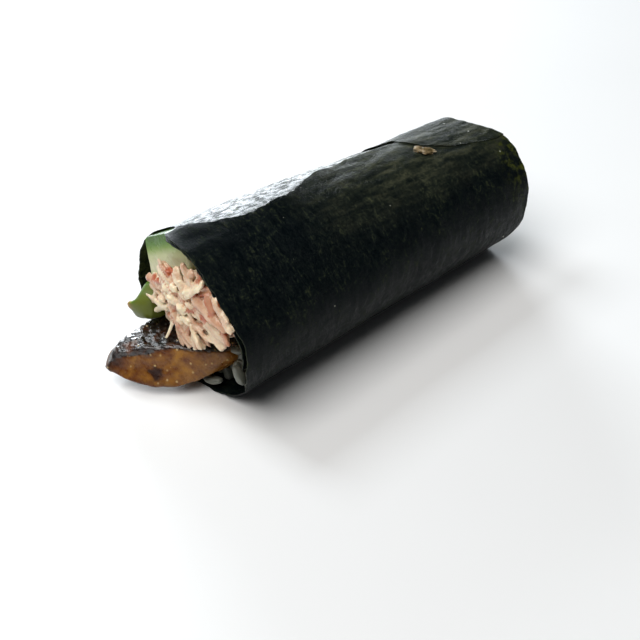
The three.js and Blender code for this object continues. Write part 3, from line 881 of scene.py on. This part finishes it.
def nori_flap():
    """The corner of the sheet that lies over the far end's top."""
    piece = new_grid(*FLAP_GRID)
    flat = points_of(piece)
    deg = FLAP_ANGLES[0] + (flat[:, 0] + 0.5) * (FLAP_ANGLES[1] - FLAP_ANGLES[0])
    row = flat[:, 1] + 0.5
    nicks = noise_line(deg, 3.0, 4.4)
    start = np.interp(deg, [d for d, y in FLAP_EDGE], [y for d, y in FLAP_EDGE]) + 0.5 * nicks
    end = far_rim(deg) + 0.3
    y = start + (end - start) * row
    # Left of the seam the sheet below lies deeper
    inset = 0.22 * smooth(-deg, 14, 34) - 0.15
    points = wall_points(deg, y, inset) + outward_at(deg) * surface_waves(deg, y)[:, None]
    move_points(piece, in_scene(points))
    # A weaker painted glow of light shining through the flap's far rim
    add_values(piece, "thin_rim", 0.35 * smooth(y, 97, 104) * smooth(deg, 0, 30))
    face_out_of_roll(piece)
    give_thickness(piece, FLAP_THICKNESS)
    return piece


# A crumb of filling stuck to the outside
def crumb():
    piece = new_ball(5)
    shape = points_of(piece)
    tail = wall_points(*CRUMB_TAIL, -0.1)
    head = wall_points(*CRUMB_HEAD, -0.1)
    middle = (tail + head) / 2 + np.array([0.0, 0.0, 0.1])
    along = unit(head - tail)
    across = unit(np.cross(along, np.array([0.12, 0.0, 0.99])))
    up = np.cross(across, along)
    lumps = 1 + 0.42 * ripple(shape * 3, 1.7) + 0.16 * ripple(shape * 3, 0.7, 4.0)
    shape = shape * lumps[:, None]
    narrow = 1.25 - 0.45 * shape[:, :1]
    points = middle + shape[:, :1] * along * 3.2 + shape[:, 1:2] * narrow * across + shape[:, 2:] * up * 0.62
    move_points(piece, in_scene(points))
    return piece


# Cucumber stick
CUCUMBER_CORNERS = [(-18.2, 36.3), (-9.4, 41.6), (-2.6, 42.4), (0.2, 35.6), (-3.4, 31.2), (-16.6, 25.4)]


def cucumber_stick():
    outline = resampled(rounded(CUCUMBER_CORNERS, 1.1), SECTION_POINTS)
    stations = [(CUCUMBER_ENDS[0] - 0.5, 0.975), (CUCUMBER_ENDS[0] - 0.25, 0.995), (CUCUMBER_ENDS[0], 1.0)]
    stations += [(y, 1 - 0.05 * smooth(y, 3, 12)) for y in np.linspace(0.5, CUCUMBER_ENDS[1] - 0.3, 60)]
    stations += [(CUCUMBER_ENDS[1], 0.925)]
    rings = [carry(*about_middle(outline, scale).T, y) for y, scale in stations]
    piece = drawn_out(rings)
    section_uv(piece, outline)
    refine_end_faces(piece, 14)
    points = in_millimetres(piece)
    ends = 1 - smooth(points[:, 1], CUCUMBER_ENDS[0] - 0.4, CUCUMBER_ENDS[0])
    points[:, 1] += ends * (0.16 * ripple(points, 3.5, 2.0) + 0.05 * ripple(points, 0.9, 5.0))
    move_points(piece, in_scene(points))
    return piece


# Avocado slice. Each section has the same six corners, from the upper left round to the lower left.
AVOCADO_SECTIONS = [
    (-7.4, [(-18.8, 18.6), (-18.4, 19.3), (-17.9, 19.1), (-17.8, 18.5), (-18.1, 18.0), (-18.6, 18.1)]),
    (-6.9, [(-19.4, 18.4), (-17.6, 20.2), (-15.6, 19.9), (-14.8, 17.6), (-16.8, 16.2), (-18.9, 16.6)]),
    (-6.2, [(-19.2, 18.6), (-17.0, 21.0), (-14.4, 20.6), (-13.2, 17.0), (-15.8, 15.2), (-19.0, 14.7)]),
    (-5.0, [(-19.2, 19.4), (-16.9, 22.2), (-13.0, 22.2), (-12.2, 16.4), (-15.2, 14.7), (-20.3, 13.3)]),
    (-2.5, [(-19.8, 21.0), (-16.9, 24.0), (-12.4, 23.6), (-11.6, 15.8), (-15.3, 15.0), (-20.6, 13.5)]),
    (0.5, [(-20.4, 22.2), (-16.8, 24.6), (-12.3, 24.0), (-11.5, 15.8), (-15.4, 15.4), (-20.4, 14.2)]),
]


def avocado_slice():
    keys = [y for y, corners in AVOCADO_SECTIONS]
    stack = [resampled(rounded(corners, 1.3), AVOCADO_POINTS) for y, corners in AVOCADO_SECTIONS]
    rings = []
    for y in [*np.arange(-7.4, 0.6, 0.2), *np.linspace(3, AVOCADO_FAR_END, 30)]:
        above = min(int(np.searchsorted(keys, y, side="right")), len(keys) - 1)
        share = np.clip((y - keys[above - 1]) / (keys[above] - keys[above - 1]), 0, 1)
        section = stack[above - 1] * (1 - share) + stack[above] * share
        rings.append(placed(section, y))
    piece = drawn_out(eased(rings, 40, 3))
    points = in_millimetres(piece)
    # The rind side is the upper left, a brown spot sits on the tip
    height = points[:, 2] - 0.9 * (points[:, 0] + 19.0)
    ridge = np.interp(points[:, 1], [-7.4, -5, -2.5, 0.5], [19.0, 21.0, 22.6, 23.4])
    rind = smooth(height, ridge - 2.6, ridge + 0.4)
    spot = np.array([-19.2, -6.9, 18.4])
    bruise = 1 - smooth(np.linalg.norm(points - spot, axis=1), 0.6, 1.9)
    section_middle = np.stack([np.full(len(points), -16.0), points[:, 1], np.full(len(points), 19.0)], axis=1)
    away = away_from(section_middle, points, 0.5)
    lumps = 0.30 * ripple(points, 4.0, 1.7) + 0.10 * ripple(points, 1.2, 3.7) + 0.9 * bruise
    move_points(piece, in_scene(points + away * lumps[:, None]))
    add_values(piece, "rind", rind)
    add_values(piece, "bruise", bruise)
    return piece


# Grilled eel. From place to place along it: its upper left and right edges, the foot of its right side,
# and the heights of its top and bottom.
EEL_STATIONS = [
    dict(y=-17.6, left=-17.2, right=-15.4, foot=-13.6, top=7.2, bottom=4.8),
    dict(y=-16.8, left=-17.8, right=-14.6, foot=-11.0, top=9.0, bottom=4.0),
    dict(y=-15.2, left=-17.8, right=-12.6, foot=-8.2, top=10.8, bottom=3.2),
    dict(y=-12.4, left=-17.6, right=-9.2, foot=-4.0, top=12.4, bottom=2.5),
    dict(y=-9.2, left=-17.4, right=-5.2, foot=-0.5, top=13.3, bottom=2.5),
    dict(y=-6.2, left=-17.4, right=-1.9, foot=1.5, top=13.7, bottom=3.0),
    dict(y=-3.4, left=-17.6, right=2.6, foot=3.3, top=13.9, bottom=3.8),
    dict(y=-0.6, left=-17.8, right=6.2, foot=4.8, top=14.0, bottom=4.5),
    dict(y=3.0, left=-18.0, right=8.6, foot=5.5, top=14.1, bottom=4.8),
    dict(y=7.0, left=-18.2, right=9.2, foot=5.4, top=14.5, bottom=4.8),
]
# Points between each pair of the outline's corners
EEL_SPANS = [5, 46, 10, 18, 10, 24, 6, 14]
EEL_MEASURES = ("left", "right", "foot", "top", "bottom")


def eel_outline(s, inside):
    corner_x = (s["left"] + 0.3) * (1 - inside) - 13.2 * inside
    corner_z = (s["bottom"] + 0.5) * (1 - inside) + 6.4 * inside
    thin = s["top"] - (4.6 * (1 - inside) + 3.6 * inside)
    side = (s["right"] + 1.6) * (1 - inside) + (s["right"] + 0.5) * inside
    return [
        (s["left"], s["top"] - (2.2 * (1 - inside) + 1.2 * inside)),
        (s["left"] + 2.6, s["top"] + 0.1),
        (s["right"], s["top"]),
        (side, max(thin, (s["top"] + s["bottom"]) / 2)),
        (s["foot"], s["bottom"] + 0.4 * (1 - inside) + 1.2 * inside),
        (s["foot"] - 3.4, s["bottom"]),
        (corner_x + 2.5, s["bottom"] * (1 - inside) + 5.6 * inside),
        (corner_x, corner_z),
    ]


def spaced_ring(outline, counts):
    """An outline with a fixed number of points between each pair of its corners."""
    ring = []
    for i, here in enumerate(outline):
        after = outline[(i + 1) % len(outline)]
        for t in np.linspace(0, 1, counts[i], endpoint=False):
            ring.append(np.array(here) * (1 - t) + np.array(after) * t)
    return np.array(ring)


def soften(ring, rounds):
    for _ in range(rounds):
        ring = 0.5 * ring + 0.25 * (np.roll(ring, 1, axis=0) + np.roll(ring, -1, axis=0))
    return ring


def eel_rings():
    keys = [s["y"] for s in EEL_STATIONS]
    rings = []
    near = np.arange(EEL_STATIONS[0]["y"], 8, 0.3)
    for y in [*near, *np.linspace(9, EEL_FAR_END, 40)]:
        blended = {name: float(np.interp(y, keys, [s[name] for s in EEL_STATIONS])) for name in EEL_MEASURES}
        inside = float(smooth(y, -5, 0))
        ring = soften(spaced_ring(eel_outline(blended, inside), EEL_SPANS), 8)
        rings.append(placed(ring, y))
    stack = eased(rings, len(near) - 1, 10)
    # A few smaller rings before the first round the tip off
    first = stack[0]
    middle = first.mean(axis=0)
    nose = [
        middle + (first - middle) * np.array([share, 0, share]) - np.array([0, out, 0])
        for share, out in ((0.12, 0.62), (0.45, 0.52), (0.75, 0.3))
    ]
    return [*nose, *stack]


def eel_slab():
    piece = drawn_out(eel_rings())
    points = in_millimetres(piece)
    place = whole_numbers(piece, "corner") / sum(EEL_SPANS)
    top_start = EEL_SPANS[0] / sum(EEL_SPANS)
    top_end = (EEL_SPANS[0] + EEL_SPANS[1]) / sum(EEL_SPANS)
    # Charred skin covers the top and runs down over the edge towards the tip
    on_top = smooth(place, top_start - 0.04, top_start)
    on_top = on_top * (1 - smooth(place, top_end - 0.010, top_end + 0.022))
    border = np.interp(points[:, 1], [-17.5, -14.6, -11.1, -9.2, -8.0], [8.4, 9.9, 10.9, 12.9, 16.0])
    spilled = smooth(points[:, 2], border - 0.5, border + 0.5)
    ragged = 0.20 * ripple(points, 2.4, 3.3) + 0.16 * ripple(points, 0.9, 8.8)
    skin = smooth(np.maximum(on_top, spilled) + ragged, 0.40, 0.60)
    # The flesh is darker at the tip, at a spot, along the skin's border, towards the bottom and on its left
    # half
    tip = 1 - smooth(points[:, 1] + 0.35 * points[:, 0], -23.6, -20.6)
    from_spot = np.linalg.norm(points - np.array([-4.6, -10.9, 6.4]), axis=1)
    spot = 1 - smooth(from_spot + 1.5 * ripple(points, 1.3, 3.3), 0.5, 2.4)
    under = 1 - smooth(points[:, 2], 3.4, 5.8)
    rim_line = 1 - smooth(np.abs(points[:, 2] - border), 0.2, 1.4)
    left_half = 1 - smooth(points[:, 0], -13, -7)
    darker_flesh = 0.8 * tip + 1.3 * spot + 0.4 * under + 0.25 * rim_line + 0.25 * left_half
    darker_flesh = darker_flesh + 0.7 * ripple(points, 4.5, 12.1) - 0.2
    # The skin is wrinkled across, the flesh is only a little uneven
    turn = math.radians(38)
    turned = points @ np.array([
        [math.cos(turn), math.sin(turn), 0],
        [-math.sin(turn), math.cos(turn), 0],
        [0, 0, 1],
    ])
    wrinkles = 0.50 * ripple(turned * np.array([0.45, 1, 1]), 1.9, 4.4) + 0.34 * ripple(points, 1.05, 6.2)
    wrinkles = wrinkles + 0.16 * ripple(points, 0.6, 2.6)
    lumps = 0.26 * ripple(points, 3.4, 7.5) + 0.12 * ripple(points, 1.1, 1.9)
    inward = smooth(points[:, 1], -1, 4)
    centre_x = np.interp(points[:, 1], [-17.6, -6, 3], [-16.0, -8.0, -5.0])
    centre = np.stack([centre_x, points[:, 1], np.full(len(points), 8.5)], axis=1)
    outward = away_from(centre, points, 1.0)
    shift = (skin * wrinkles + (1 - skin) * lumps) * (1 - 0.8 * inward)
    move_points(piece, in_scene(points + outward * shift[:, None]))
    add_values(piece, "skin", skin)
    add_values(piece, "darker_flesh", np.clip(darker_flesh, 0, 1))
    return piece


# Crab salad
CRAB_TOP = [(2.6, 36.2), (-2.4, 30.2), (-11.4, 25.6), (-11.2, 23.0), (-10.6, 16.2), (-1, 15.8)]
CRAB_OUTLINE = [*limit_arc(87, 14, 8), *CRAB_TOP, (8.6, 16.2), (14.6, 18.6), (20.4, 21.4)]
CRAB_AT_MOUTH = [*limit_arc(74, 14, 8), *CRAB_TOP, (7.0, 17.2), (11.4, 21.0), (17.0, 24.6)]
# Further in the filling reaches the cucumber and the sheet
CORE_OUTLINE = [
    *limit_arc(87, -4, 10, 0.925),
    (1.0, 36.4),
    (-2.2, 30.6),
    *CRAB_TOP[2:],
    (8.6, 16.2),
    (14.6, 18.6),
    (20.4, 21.4),
]

# The space that the shreds fill at the mouth, seen from the front 4 mm before the rim plane
MOUTH_HEAP = [
    (-8.2, 35.6), (-3.3, 36.1), (1.1, 39.4), (7.4, 38.6),
    (14.8, 36.1), (20.4, 30.4), (17.9, 26.1), (15.5, 21.7),
    (9.2, 18.6), (5.4, 15.6), (-0.1, 14.6), (-3.4, 18.1),
    (-10.6, 20.4), (-14.4, 22.4), (-12.6, 26.0), (-13.6, 28.5),
]
HEAP_MIDDLE = (1.0, 27.5)

# Shreds that can be told apart: start, end, width, and a tint from cream (0) to red (1)
PLAIN_SHREDS = [
    ((9.4, -5.0, 38.2), (3.0, -5.9, 32.6), 3.0, 0.10),
    ((5.6, -5.0, 32.4), (17.6, -5.3, 28.8), 3.4, 0.36),
    ((5.2, -4.8, 29.4), (16.6, -5.0, 25.4), 2.7, 0.24),
    ((-5.1, -4.8, 25.4), (4.0, -5.1, 17.0), 2.2, 0.30),
    ((-14.3, -4.9, 23.0), (-6.0, -4.7, 22.2), 1.9, 0.08),
    ((-8.0, -4.6, 36.4), (-4.2, -4.6, 31.6), 2.4, 0.30),
    ((1.2, -4.7, 39.5), (5.6, -4.8, 34.4), 2.8, 0.34),
    ((8.6, -4.9, 25.7), (15.8, -5.0, 22.0), 2.4, 0.10),
    ((3.5, -5.1, 23.4), (8.4, -5.4, 18.4), 2.6, 0.04),
    ((-2.6, -4.8, 20.4), (0.0, -4.9, 14.8), 1.8, 0.24),
    ((-12.4, -4.7, 26.4), (-6.6, -4.8, 25.0), 1.8, 0.22),
    ((-13.7, -4.7, 28.6), (-8.0, -4.9, 27.8), 2.4, 0.48),
    ((-11.2, -4.7, 19.2), (-5.6, -4.9, 23.6), 1.5, 0.02),
    ((-4.0, -4.2, 21.2), (-5.3, -6.3, 14.9), 1.3, 0.00),
    ((4.4, -4.9, 22.0), (4.7, -5.0, 15.9), 1.7, 0.06),
    ((13.6, -5.2, 36.0), (18.8, -5.6, 31.4), 2.4, 0.26),
    ((15.8, -5.3, 33.0), (20.4, -5.6, 29.9), 2.2, 0.12),
    ((15.4, -5.0, 27.8), (18.4, -5.2, 24.6), 1.8, 0.62),
    ((-1.6, -5.2, 35.8), (3.0, -5.3, 30.2), 2.3, 0.20),
    ((10.2, -5.0, 35.6), (13.4, -5.3, 31.4), 2.2, 0.55),
    ((-7.6, -5.0, 31.4), (-1.0, -5.5, 27.0), 2.4, 0.12),
]

# Lumps of mayonnaise: middle and radius
CREAM_LUMPS = [
    ((-5.0, -5.3, 29.6), 1.5), ((-3.2, -5.7, 27.4), 1.7), ((-1.4, -5.6, 31.4), 1.4),
    ((1.4, -5.9, 27.0), 1.8), ((2.6, -5.7, 24.4), 1.6), ((-7.6, -5.1, 24.8), 1.3),
    ((4.4, -5.7, 29.4), 1.3), ((0.2, -5.5, 22.6), 1.4), ((5.8, -5.4, 20.4), 1.4),
    ((0.6, -5.4, 34.0), 1.2),
]

# Places where the red outside of a crab stick shows: middle and radius
RED_SPOTS = [
    ((-4.0, -4.8, 34.6), 1.9), ((-10.6, -4.8, 30.0), 1.4), ((9.6, -5.0, 28.4), 2.1),
    ((7.2, -4.8, 37.8), 1.3), ((15.4, -4.8, 35.2), 1.3), ((6.2, -5.0, 33.3), 1.0),
    ((-12.6, -4.8, 28.4), 1.0), ((16.6, -4.8, 27.0), 1.1),
]


# Directions in which the two ends of the roll face
TOWARDS_MOUTH = np.array([0.0, -1.0, 0.0])
TOWARDS_FAR_END = np.array([0.0, 1.0, 0.0])

SHORTEST_SHRED = 2.2
# Sizes of the grid on which the shreds are joined, and tints of the plain filling behind them
MOUTH_VOXEL = 0.22
FAR_VOXEL = 0.34
BACKING_TINT = 0.22
CORE_TINT = 0.15


def held_in(point, middle, outline):
    """The point drawn back towards the middle until it lies inside the outline."""
    point = np.array(point, float)
    for _ in range(30):
        if inside_outline(point[0], point[1], outline):
            return point
        point = point + (np.array(middle) - point) * 0.05
    return point


def base_shred():
    """One straight shred, 1 long, 1 wide and 1 thick, drawn out of its end."""
    count = 28
    angles = np.linspace(0, 2 * math.pi, count, endpoint=False)
    places = [-0.5, -0.49, -0.465, -0.42, -0.33, -0.22, -0.11, 0, 0.11, 0.22, 0.33, 0.42, 0.465, 0.49, 0.5]
    swell = [0.30, 0.62, 0.80, 0.92, 0.98, 1, 1, 1, 1, 1, 0.98, 0.92, 0.80, 0.62, 0.30]
    rings = []
    for place, size in zip(places, swell):
        x = 0.5 * size * np.sign(np.cos(angles)) * np.abs(np.cos(angles)) ** 0.8
        z = 0.5 * size * np.sign(np.sin(angles)) * np.abs(np.sin(angles)) ** 0.8
        rings.append(np.stack([x, np.full(count, place), z], axis=1) + MIDDLE)
    piece = drawn_out(rings)
    return piece, points_of(piece) * MILLIMETRES_PER_METRE


def bent(shape, start, stop, width, thickness, facing, draw):
    """The base shred laid from start to stop along a bent line, a little twisted and uneven."""
    seed = draw() * 50
    # Torn ends: every side of the shred stops somewhere else
    round_places = np.stack([shape[:, 0] * 4, shape[:, 2] * 4, np.sign(shape[:, 1]) * 3], axis=1)
    torn = 0.11 * ripple(round_places, 1.0, seed) * np.abs(shape[:, 1] * 2) ** 6
    t = shape[:, 1] + 0.5 + torn * np.sign(shape[:, 1])
    t3 = t[:, None]
    reach = np.linalg.norm(stop - start)
    sideways = np.cross((stop - start) / reach, facing)
    middle = (start + stop) / 2 + sideways * (draw() - 0.5) * 0.35 * reach
    middle = middle + facing * (draw() - 0.3) * 0.12 * reach
    centre = start * (1 - t3) ** 2 + middle * 2 * t3 * (1 - t3) + stop * t3 ** 2
    tangent = 2 * (1 - t3) * (middle - start) + 2 * t3 * (stop - middle)
    tangent = tangent / np.linalg.norm(tangent, axis=1)[:, None]
    across = np.cross(tangent, facing)
    across = across / np.linalg.norm(across, axis=1)[:, None]
    out = np.cross(across, tangent)
    twist = (draw() - 0.5) * 1.2 + (draw() - 0.5) * 1.6 * (t - 0.5)
    taper = 1 - (draw() * 0.5) * (t if draw() > 0.5 else 1 - t)
    key = np.stack([shape[:, 0] * 1.6, t * reach / 1.8, shape[:, 2] * 1.6], axis=1)
    grooves = np.stack([shape[:, 0] * 5.5, t * reach / 5.0, shape[:, 2] * 5.5], axis=1)
    uneven = 1 + 0.40 * ripple(key, 1.0, seed) + 0.42 * ripple(grooves, 1.0, seed)
    a = shape[:, 0] * width * taper * uneven
    b = shape[:, 2] * thickness * taper * uneven
    wide = a * np.cos(twist) - b * np.sin(twist)
    deep = a * np.sin(twist) + b * np.cos(twist)
    return centre + across * wide[:, None] + out * deep[:, None]


def shred_ends(place, angle, half, middle, outline):
    """Both ends of a shred about a place, drawn back into the outline."""
    step = np.array([math.cos(angle), math.sin(angle)]) * half
    return [held_in(np.array(place) + step * way, middle, outline) for way in (-1, 1)]


def near_shreds(draw):
    """Start, end, width and tint of every shred at the mouth."""
    shreds = [(np.array(a), np.array(b), width, tint) for a, b, width, tint in PLAIN_SHREDS]
    for px, pz in scattered(draw, (-13.0, 21), (15.5, 40), (2.7, 2.3), (2.6, 2.2)):
        turn = (draw() - 0.5) * 1.9
        half = 2.6 + 2.6 * draw()
        depth = -3.0 - 1.9 * draw()
        width = 0.9 + 1.5 * draw()
        tint = 0.04 + 0.58 * draw()
        if inside_outline(px, pz, MOUTH_HEAP):
            angle = math.atan2(pz - HEAP_MIDDLE[1], px - HEAP_MIDDLE[0]) + turn
            inner, outer = shred_ends((px, pz), angle, half, HEAP_MIDDLE, MOUTH_HEAP)
            start = np.array([inner[0], depth - 0.3, inner[1]])
            stop = np.array([outer[0], depth, outer[1]])
            if np.linalg.norm(stop - start) > SHORTEST_SHRED:
                shreds.append((start, stop, width, tint))
    return shreds


def far_shreds(draw):
    """The same for the far end, where the heap is flatter."""
    shrunk = about_middle(np.array(CRAB_OUTLINE), 0.86)
    middle = shrunk.mean(axis=0)
    shreds = []
    for px, pz in scattered(draw, (-11.0, 20), (17.0, 40), (3.6, 3.0), (3.0, 2.4)):
        turn = (draw() - 0.5) * 2.6
        half = 2.8 + 2.4 * draw()
        depth = CRAB_FAR_END - 0.4 + 1.5 * draw()
        width = 1.6 + 1.2 * draw()
        tint = 0.04 + 0.42 * draw() ** 1.3
        if inside_outline(px, pz, shrunk):
            ends = shred_ends((px, pz), math.radians(-30) + turn, half, middle, shrunk)
            start, stop = (carry(*end, depth) for end in ends)
            if np.linalg.norm(stop - start) > SHORTEST_SHRED:
                shreds.append((start, stop, width, tint))
    return shreds


def joined(pieces):
    bpy.ops.object.select_all(action="DESELECT")
    for piece in pieces:
        piece.select_set(True)
    bpy.context.view_layer.objects.active = pieces[0]
    bpy.ops.object.join()
    return bpy.context.active_object


def crab_section(y):
    share = float(smooth(y, 4, 14))
    corners = [np.array(a) * (1 - share) + np.array(b) * share for a, b in zip(CRAB_AT_MOUTH, CRAB_OUTLINE)]
    return resampled(np.array(corners), SECTION_POINTS)


def crab_end(shreds, lumps, backing, facing, voxel):
    """Shreds and cream melted into one lumpy heap that keeps the tint of what lay nearest."""
    base, shape = base_shred()
    draw = random_source(91)
    copies = []
    source_points = []
    source_tints = []
    for start, stop, width, tint in shreds:
        points = bent(shape, start, stop, width, width * (0.45 + 0.25 * draw()), facing, draw)
        one_side = np.clip(shape[:, 0] * 2 * (1 if draw() > 0.5 else -1), 0, 1)
        tints = tint + 0.30 * one_side * (draw() > 0.6) + 0.10 * (draw() - 0.5)
        copies.append(copy_with(base, points))
        source_points.append(points)
        source_tints.append(np.clip(tints + np.zeros(len(points)), 0, 1))
    bpy.data.objects.remove(base)
    for centre, radius in lumps:
        lump = new_ball(3)
        ball = points_of(lump)
        ball = ball * (1 + 0.6 * ripple(ball * 2, 1.2, radius * 9))[:, None] * np.array([1.25, 0.6, 0.9])
        points = np.array(centre) + ball * radius * 0.8
        move_points(lump, in_scene(points))
        copies.append(lump)
        source_points.append(points)
        source_tints.append(np.zeros(len(points)))
    copies.append(backing)
    source_points.append(in_millimetres(backing))
    source_tints.append(np.full(len(backing.data.vertices), BACKING_TINT))
    piece = joined(copies)
    only(piece)
    melt = piece.modifiers.new("melt", "REMESH")
    melt.mode = "VOXEL"
    melt.voxel_size = voxel / MILLIMETRES_PER_METRE
    bpy.ops.object.modifier_apply(modifier=melt.name)
    ease = piece.modifiers.new("ease", "SMOOTH")
    ease.factor = 0.4
    ease.iterations = 1
    bpy.ops.object.modifier_apply(modifier=ease.name)
    points = in_millimetres(piece)
    sources = np.concatenate(source_points)
    tints = np.concatenate(source_tints)
    tree = kdtree.KDTree(len(sources))
    for number, point in enumerate(sources):
        tree.insert(point, number)
    tree.balance()
    nearest = np.array([[found[1] for found in tree.find_n(point, 3)] for point in points])
    tint = tints[nearest].mean(axis=1)
    for centre, radius in RED_SPOTS:
        distance = np.linalg.norm(points - np.array(centre), axis=1) + 0.5 * ripple(points, 1.3)
        tint = np.maximum(tint, 0.95 * (1 - smooth(distance, radius * 0.4, radius * 1.1)))
    rough = 0.08 * ripple(points, 0.7, 4.2) + 0.08 * ripple(points * np.array([1, 1, 1.8]), 1.5, 7.0)
    points[:, 1] += rough
    points[:, 0] += 0.08 * ripple(points, 1.0, 11.0)
    points[:, 2] += 0.08 * ripple(points, 1.0, 15.0)
    move_points(piece, in_scene(points))
    add_values(piece, "tint", np.clip(tint, 0, 1))
    return piece


def backing_slab(y_start, y_stop, outline_at, shrink):
    rings = [carry(*about_middle(outline_at(y), shrink).T, y) for y in np.linspace(y_start, y_stop, 8)]
    return drawn_out(rings)


def crab_near():
    backing = backing_slab(-3.0, 3.0, crab_section, 0.93)
    return crab_end(near_shreds(random_source(11)), CREAM_LUMPS, backing, TOWARDS_MOUTH, MOUTH_VOXEL)


def crab_far():
    backing = backing_slab(CRAB_FAR_END - 5, CRAB_FAR_END - 0.8, crab_section, 0.93)
    return crab_end(far_shreds(random_source(29)), [], backing, TOWARDS_FAR_END, FAR_VOXEL)


def crab_core():
    full = resampled(np.array(CORE_OUTLINE), SECTION_POINTS)
    rings = []
    for y in np.linspace(1.0, CRAB_FAR_END - 2, 30):
        share = float(smooth(y, 3, 12) * (1 - smooth(y, 84, 91)))
        section = about_middle(crab_section(y), 0.90) * (1 - share) + full * share
        rings.append(carry(*section.T, y))
    piece = drawn_out(rings)
    add_values(piece, "tint", np.full(len(piece.data.vertices), CORE_TINT))
    return piece


# Rice
RICE_OUTLINE = [
    *limit_arc(103, 208, 10),
    (-10.4, 5.1),
    (-2, 4.0),
    (4.6, 5.2),
    (10.2, 10.4),
    (10.6, 14.8),
    (14.4, 15.7),
    (20.4, 16.9),
]

# Grains that show under the eel and beside it, round a dark hollow: middle, direction and length
MOUTH_GRAINS = [
    ((15.2, 0.0, 11.3), (0.50, 0.12, -0.85), 5.8),
    ((13.4, 1.2, 10.6), (0.55, -0.2, -0.81), 5.6),
    ((12.8, 3.4, 8.4), (0.80, 0.5, -0.35), 5.6),
    ((3.9, 0.6, 3.0), (0.86, 0.45, 0.10), 5.4),
    ((0.8, 1.4, 2.8), (0.70, -0.66, 0.05), 5.8),
    ((-2.4, 1.6, 2.9), (0.90, 0.30, 0.05), 6.0),
    ((-5.2, 1.4, 3.4), (0.85, -0.45, 0.00), 6.0),
]
HOLLOW_MIDDLE = (8.4, 5.4)
HOLLOW_RADIUS = 4.4


def filled_grains(end, seed):
    """Grains over the whole rice at one end, each with its middle, direction and length."""
    draw = random_source(seed)
    side = -1 if end < 10 else 1
    # At the mouth the grains lie closer together and nearer to the edge
    steps, share = ((2.4, 1.9), 0.93) if side < 0 else ((3.1, 2.2), 0.82)
    shrunk = about_middle(np.array(RICE_OUTLINE), share)
    grains = []
    for px, pz in scattered(draw, (-11.0, 21), (2.4, 17), steps, (1.6, 1.0)):
        spin = draw() * math.pi
        lean = (draw() - 0.5) * 1.6
        length = GRAIN_LENGTH * (0.88 + draw() * 0.24)
        rise = draw() * 1.1
        in_hollow = side < 0 and math.hypot(px - HOLLOW_MIDDLE[0], pz - HOLLOW_MIDDLE[1]) < HOLLOW_RADIUS
        if inside_outline(px, pz, shrunk) and not in_hollow:
            x, _, z = carry(px, pz, end)
            direction = np.array([math.cos(spin), lean, math.sin(spin)])
            grains.append((np.array([x, end + side * rise, z]), direction, length))
    return grains


def rice_core():
    outline = resampled(np.array(RICE_OUTLINE), RICE_POINTS)
    places = np.linspace(RICE_ENDS[0] + 8, RICE_ENDS[1] - 0.6, 30)
    return drawn_out([carry(*about_middle(outline, 0.95).T, y) for y in places])


def rice_grains():
    base = new_ball(3)
    shape = points_of(base)
    copies = []
    draw = random_source(41)
    grains = [(np.array(middle), np.array(way), length) for middle, way, length in MOUTH_GRAINS]
    grains += filled_grains(RICE_ENDS[0] + 3, 5)
    grains += filled_grains(RICE_ENDS[1], 17)
    for centre, direction, length in grains:
        along = unit(direction)
        across = unit(np.cross(along, np.array([0.3, 0.2, 0.93])))
        up = np.cross(across, along)
        bend = 0.30 * (shape[:, 0] ** 2 - 0.3) * (draw() - 0.3)
        thick = GRAIN_WIDTH / 2 * (0.9 + 0.2 * draw())
        dimples = 1 + 0.14 * ripple(shape * 2, 1.1, draw() * 40)
        body = shape * dimples[:, None]
        points = (
            centre
            + body[:, :1] * along * length / 2
            + body[:, 1:2] * across * thick
            + (body[:, 2] * 0.85 + bend)[:, None] * up * thick
        )
        points[:, 2] = np.maximum(points[:, 2], 1.3)
        copies.append(copy_with(base, points))
    bpy.data.objects.remove(base)
    return joined(copies)


# Pieces
nori_look = nori_material()
finish_piece(nori_sheet(), "nori_sheet", nori_look, "nori", "nori", angle=60)
finish_piece(nori_flap(), "nori_flap", nori_look, "nori", "nori", angle=60)
finish_piece(crumb(), "crumb_on_nori", crumb_material(), "nori", "nori")
finish_piece(cucumber_stick(), "cucumber_stick", cucumber_material(), "cucumber", "cucumber", angle=35)
finish_piece(avocado_slice(), "avocado_slice", avocado_material(), "avocado", "avocado", angle=60)
finish_piece(eel_slab(), "eel_slab", eel_material(), "eel", "eel", angle=75)
crab_look = crab_material()
finish_piece(crab_near(), "crab_at_the_mouth", crab_look, "crab_salad", "crab_salad", angle=80)
finish_piece(crab_far(), "crab_at_the_far_end", crab_look, "crab_salad", "crab_salad", angle=80)
finish_piece(crab_core(), "crab_between", crab_look, "crab_salad", "crab_salad", angle=60)
rice_look = rice_material()
finish_piece(rice_core(), "rice_bed", rice_look, "rice", "rice", angle=60)
finish_piece(rice_grains(), "rice_grains", rice_look, "rice", "rice", angle=60)

bpy.ops.object.select_all(action="DESELECT")
bpy.ops.mesh.primitive_plane_add(size=6, location=(0, 0, 0))
floor = bpy.context.active_object
floor.name = "floor"
floor.data.materials.append(floor_material())
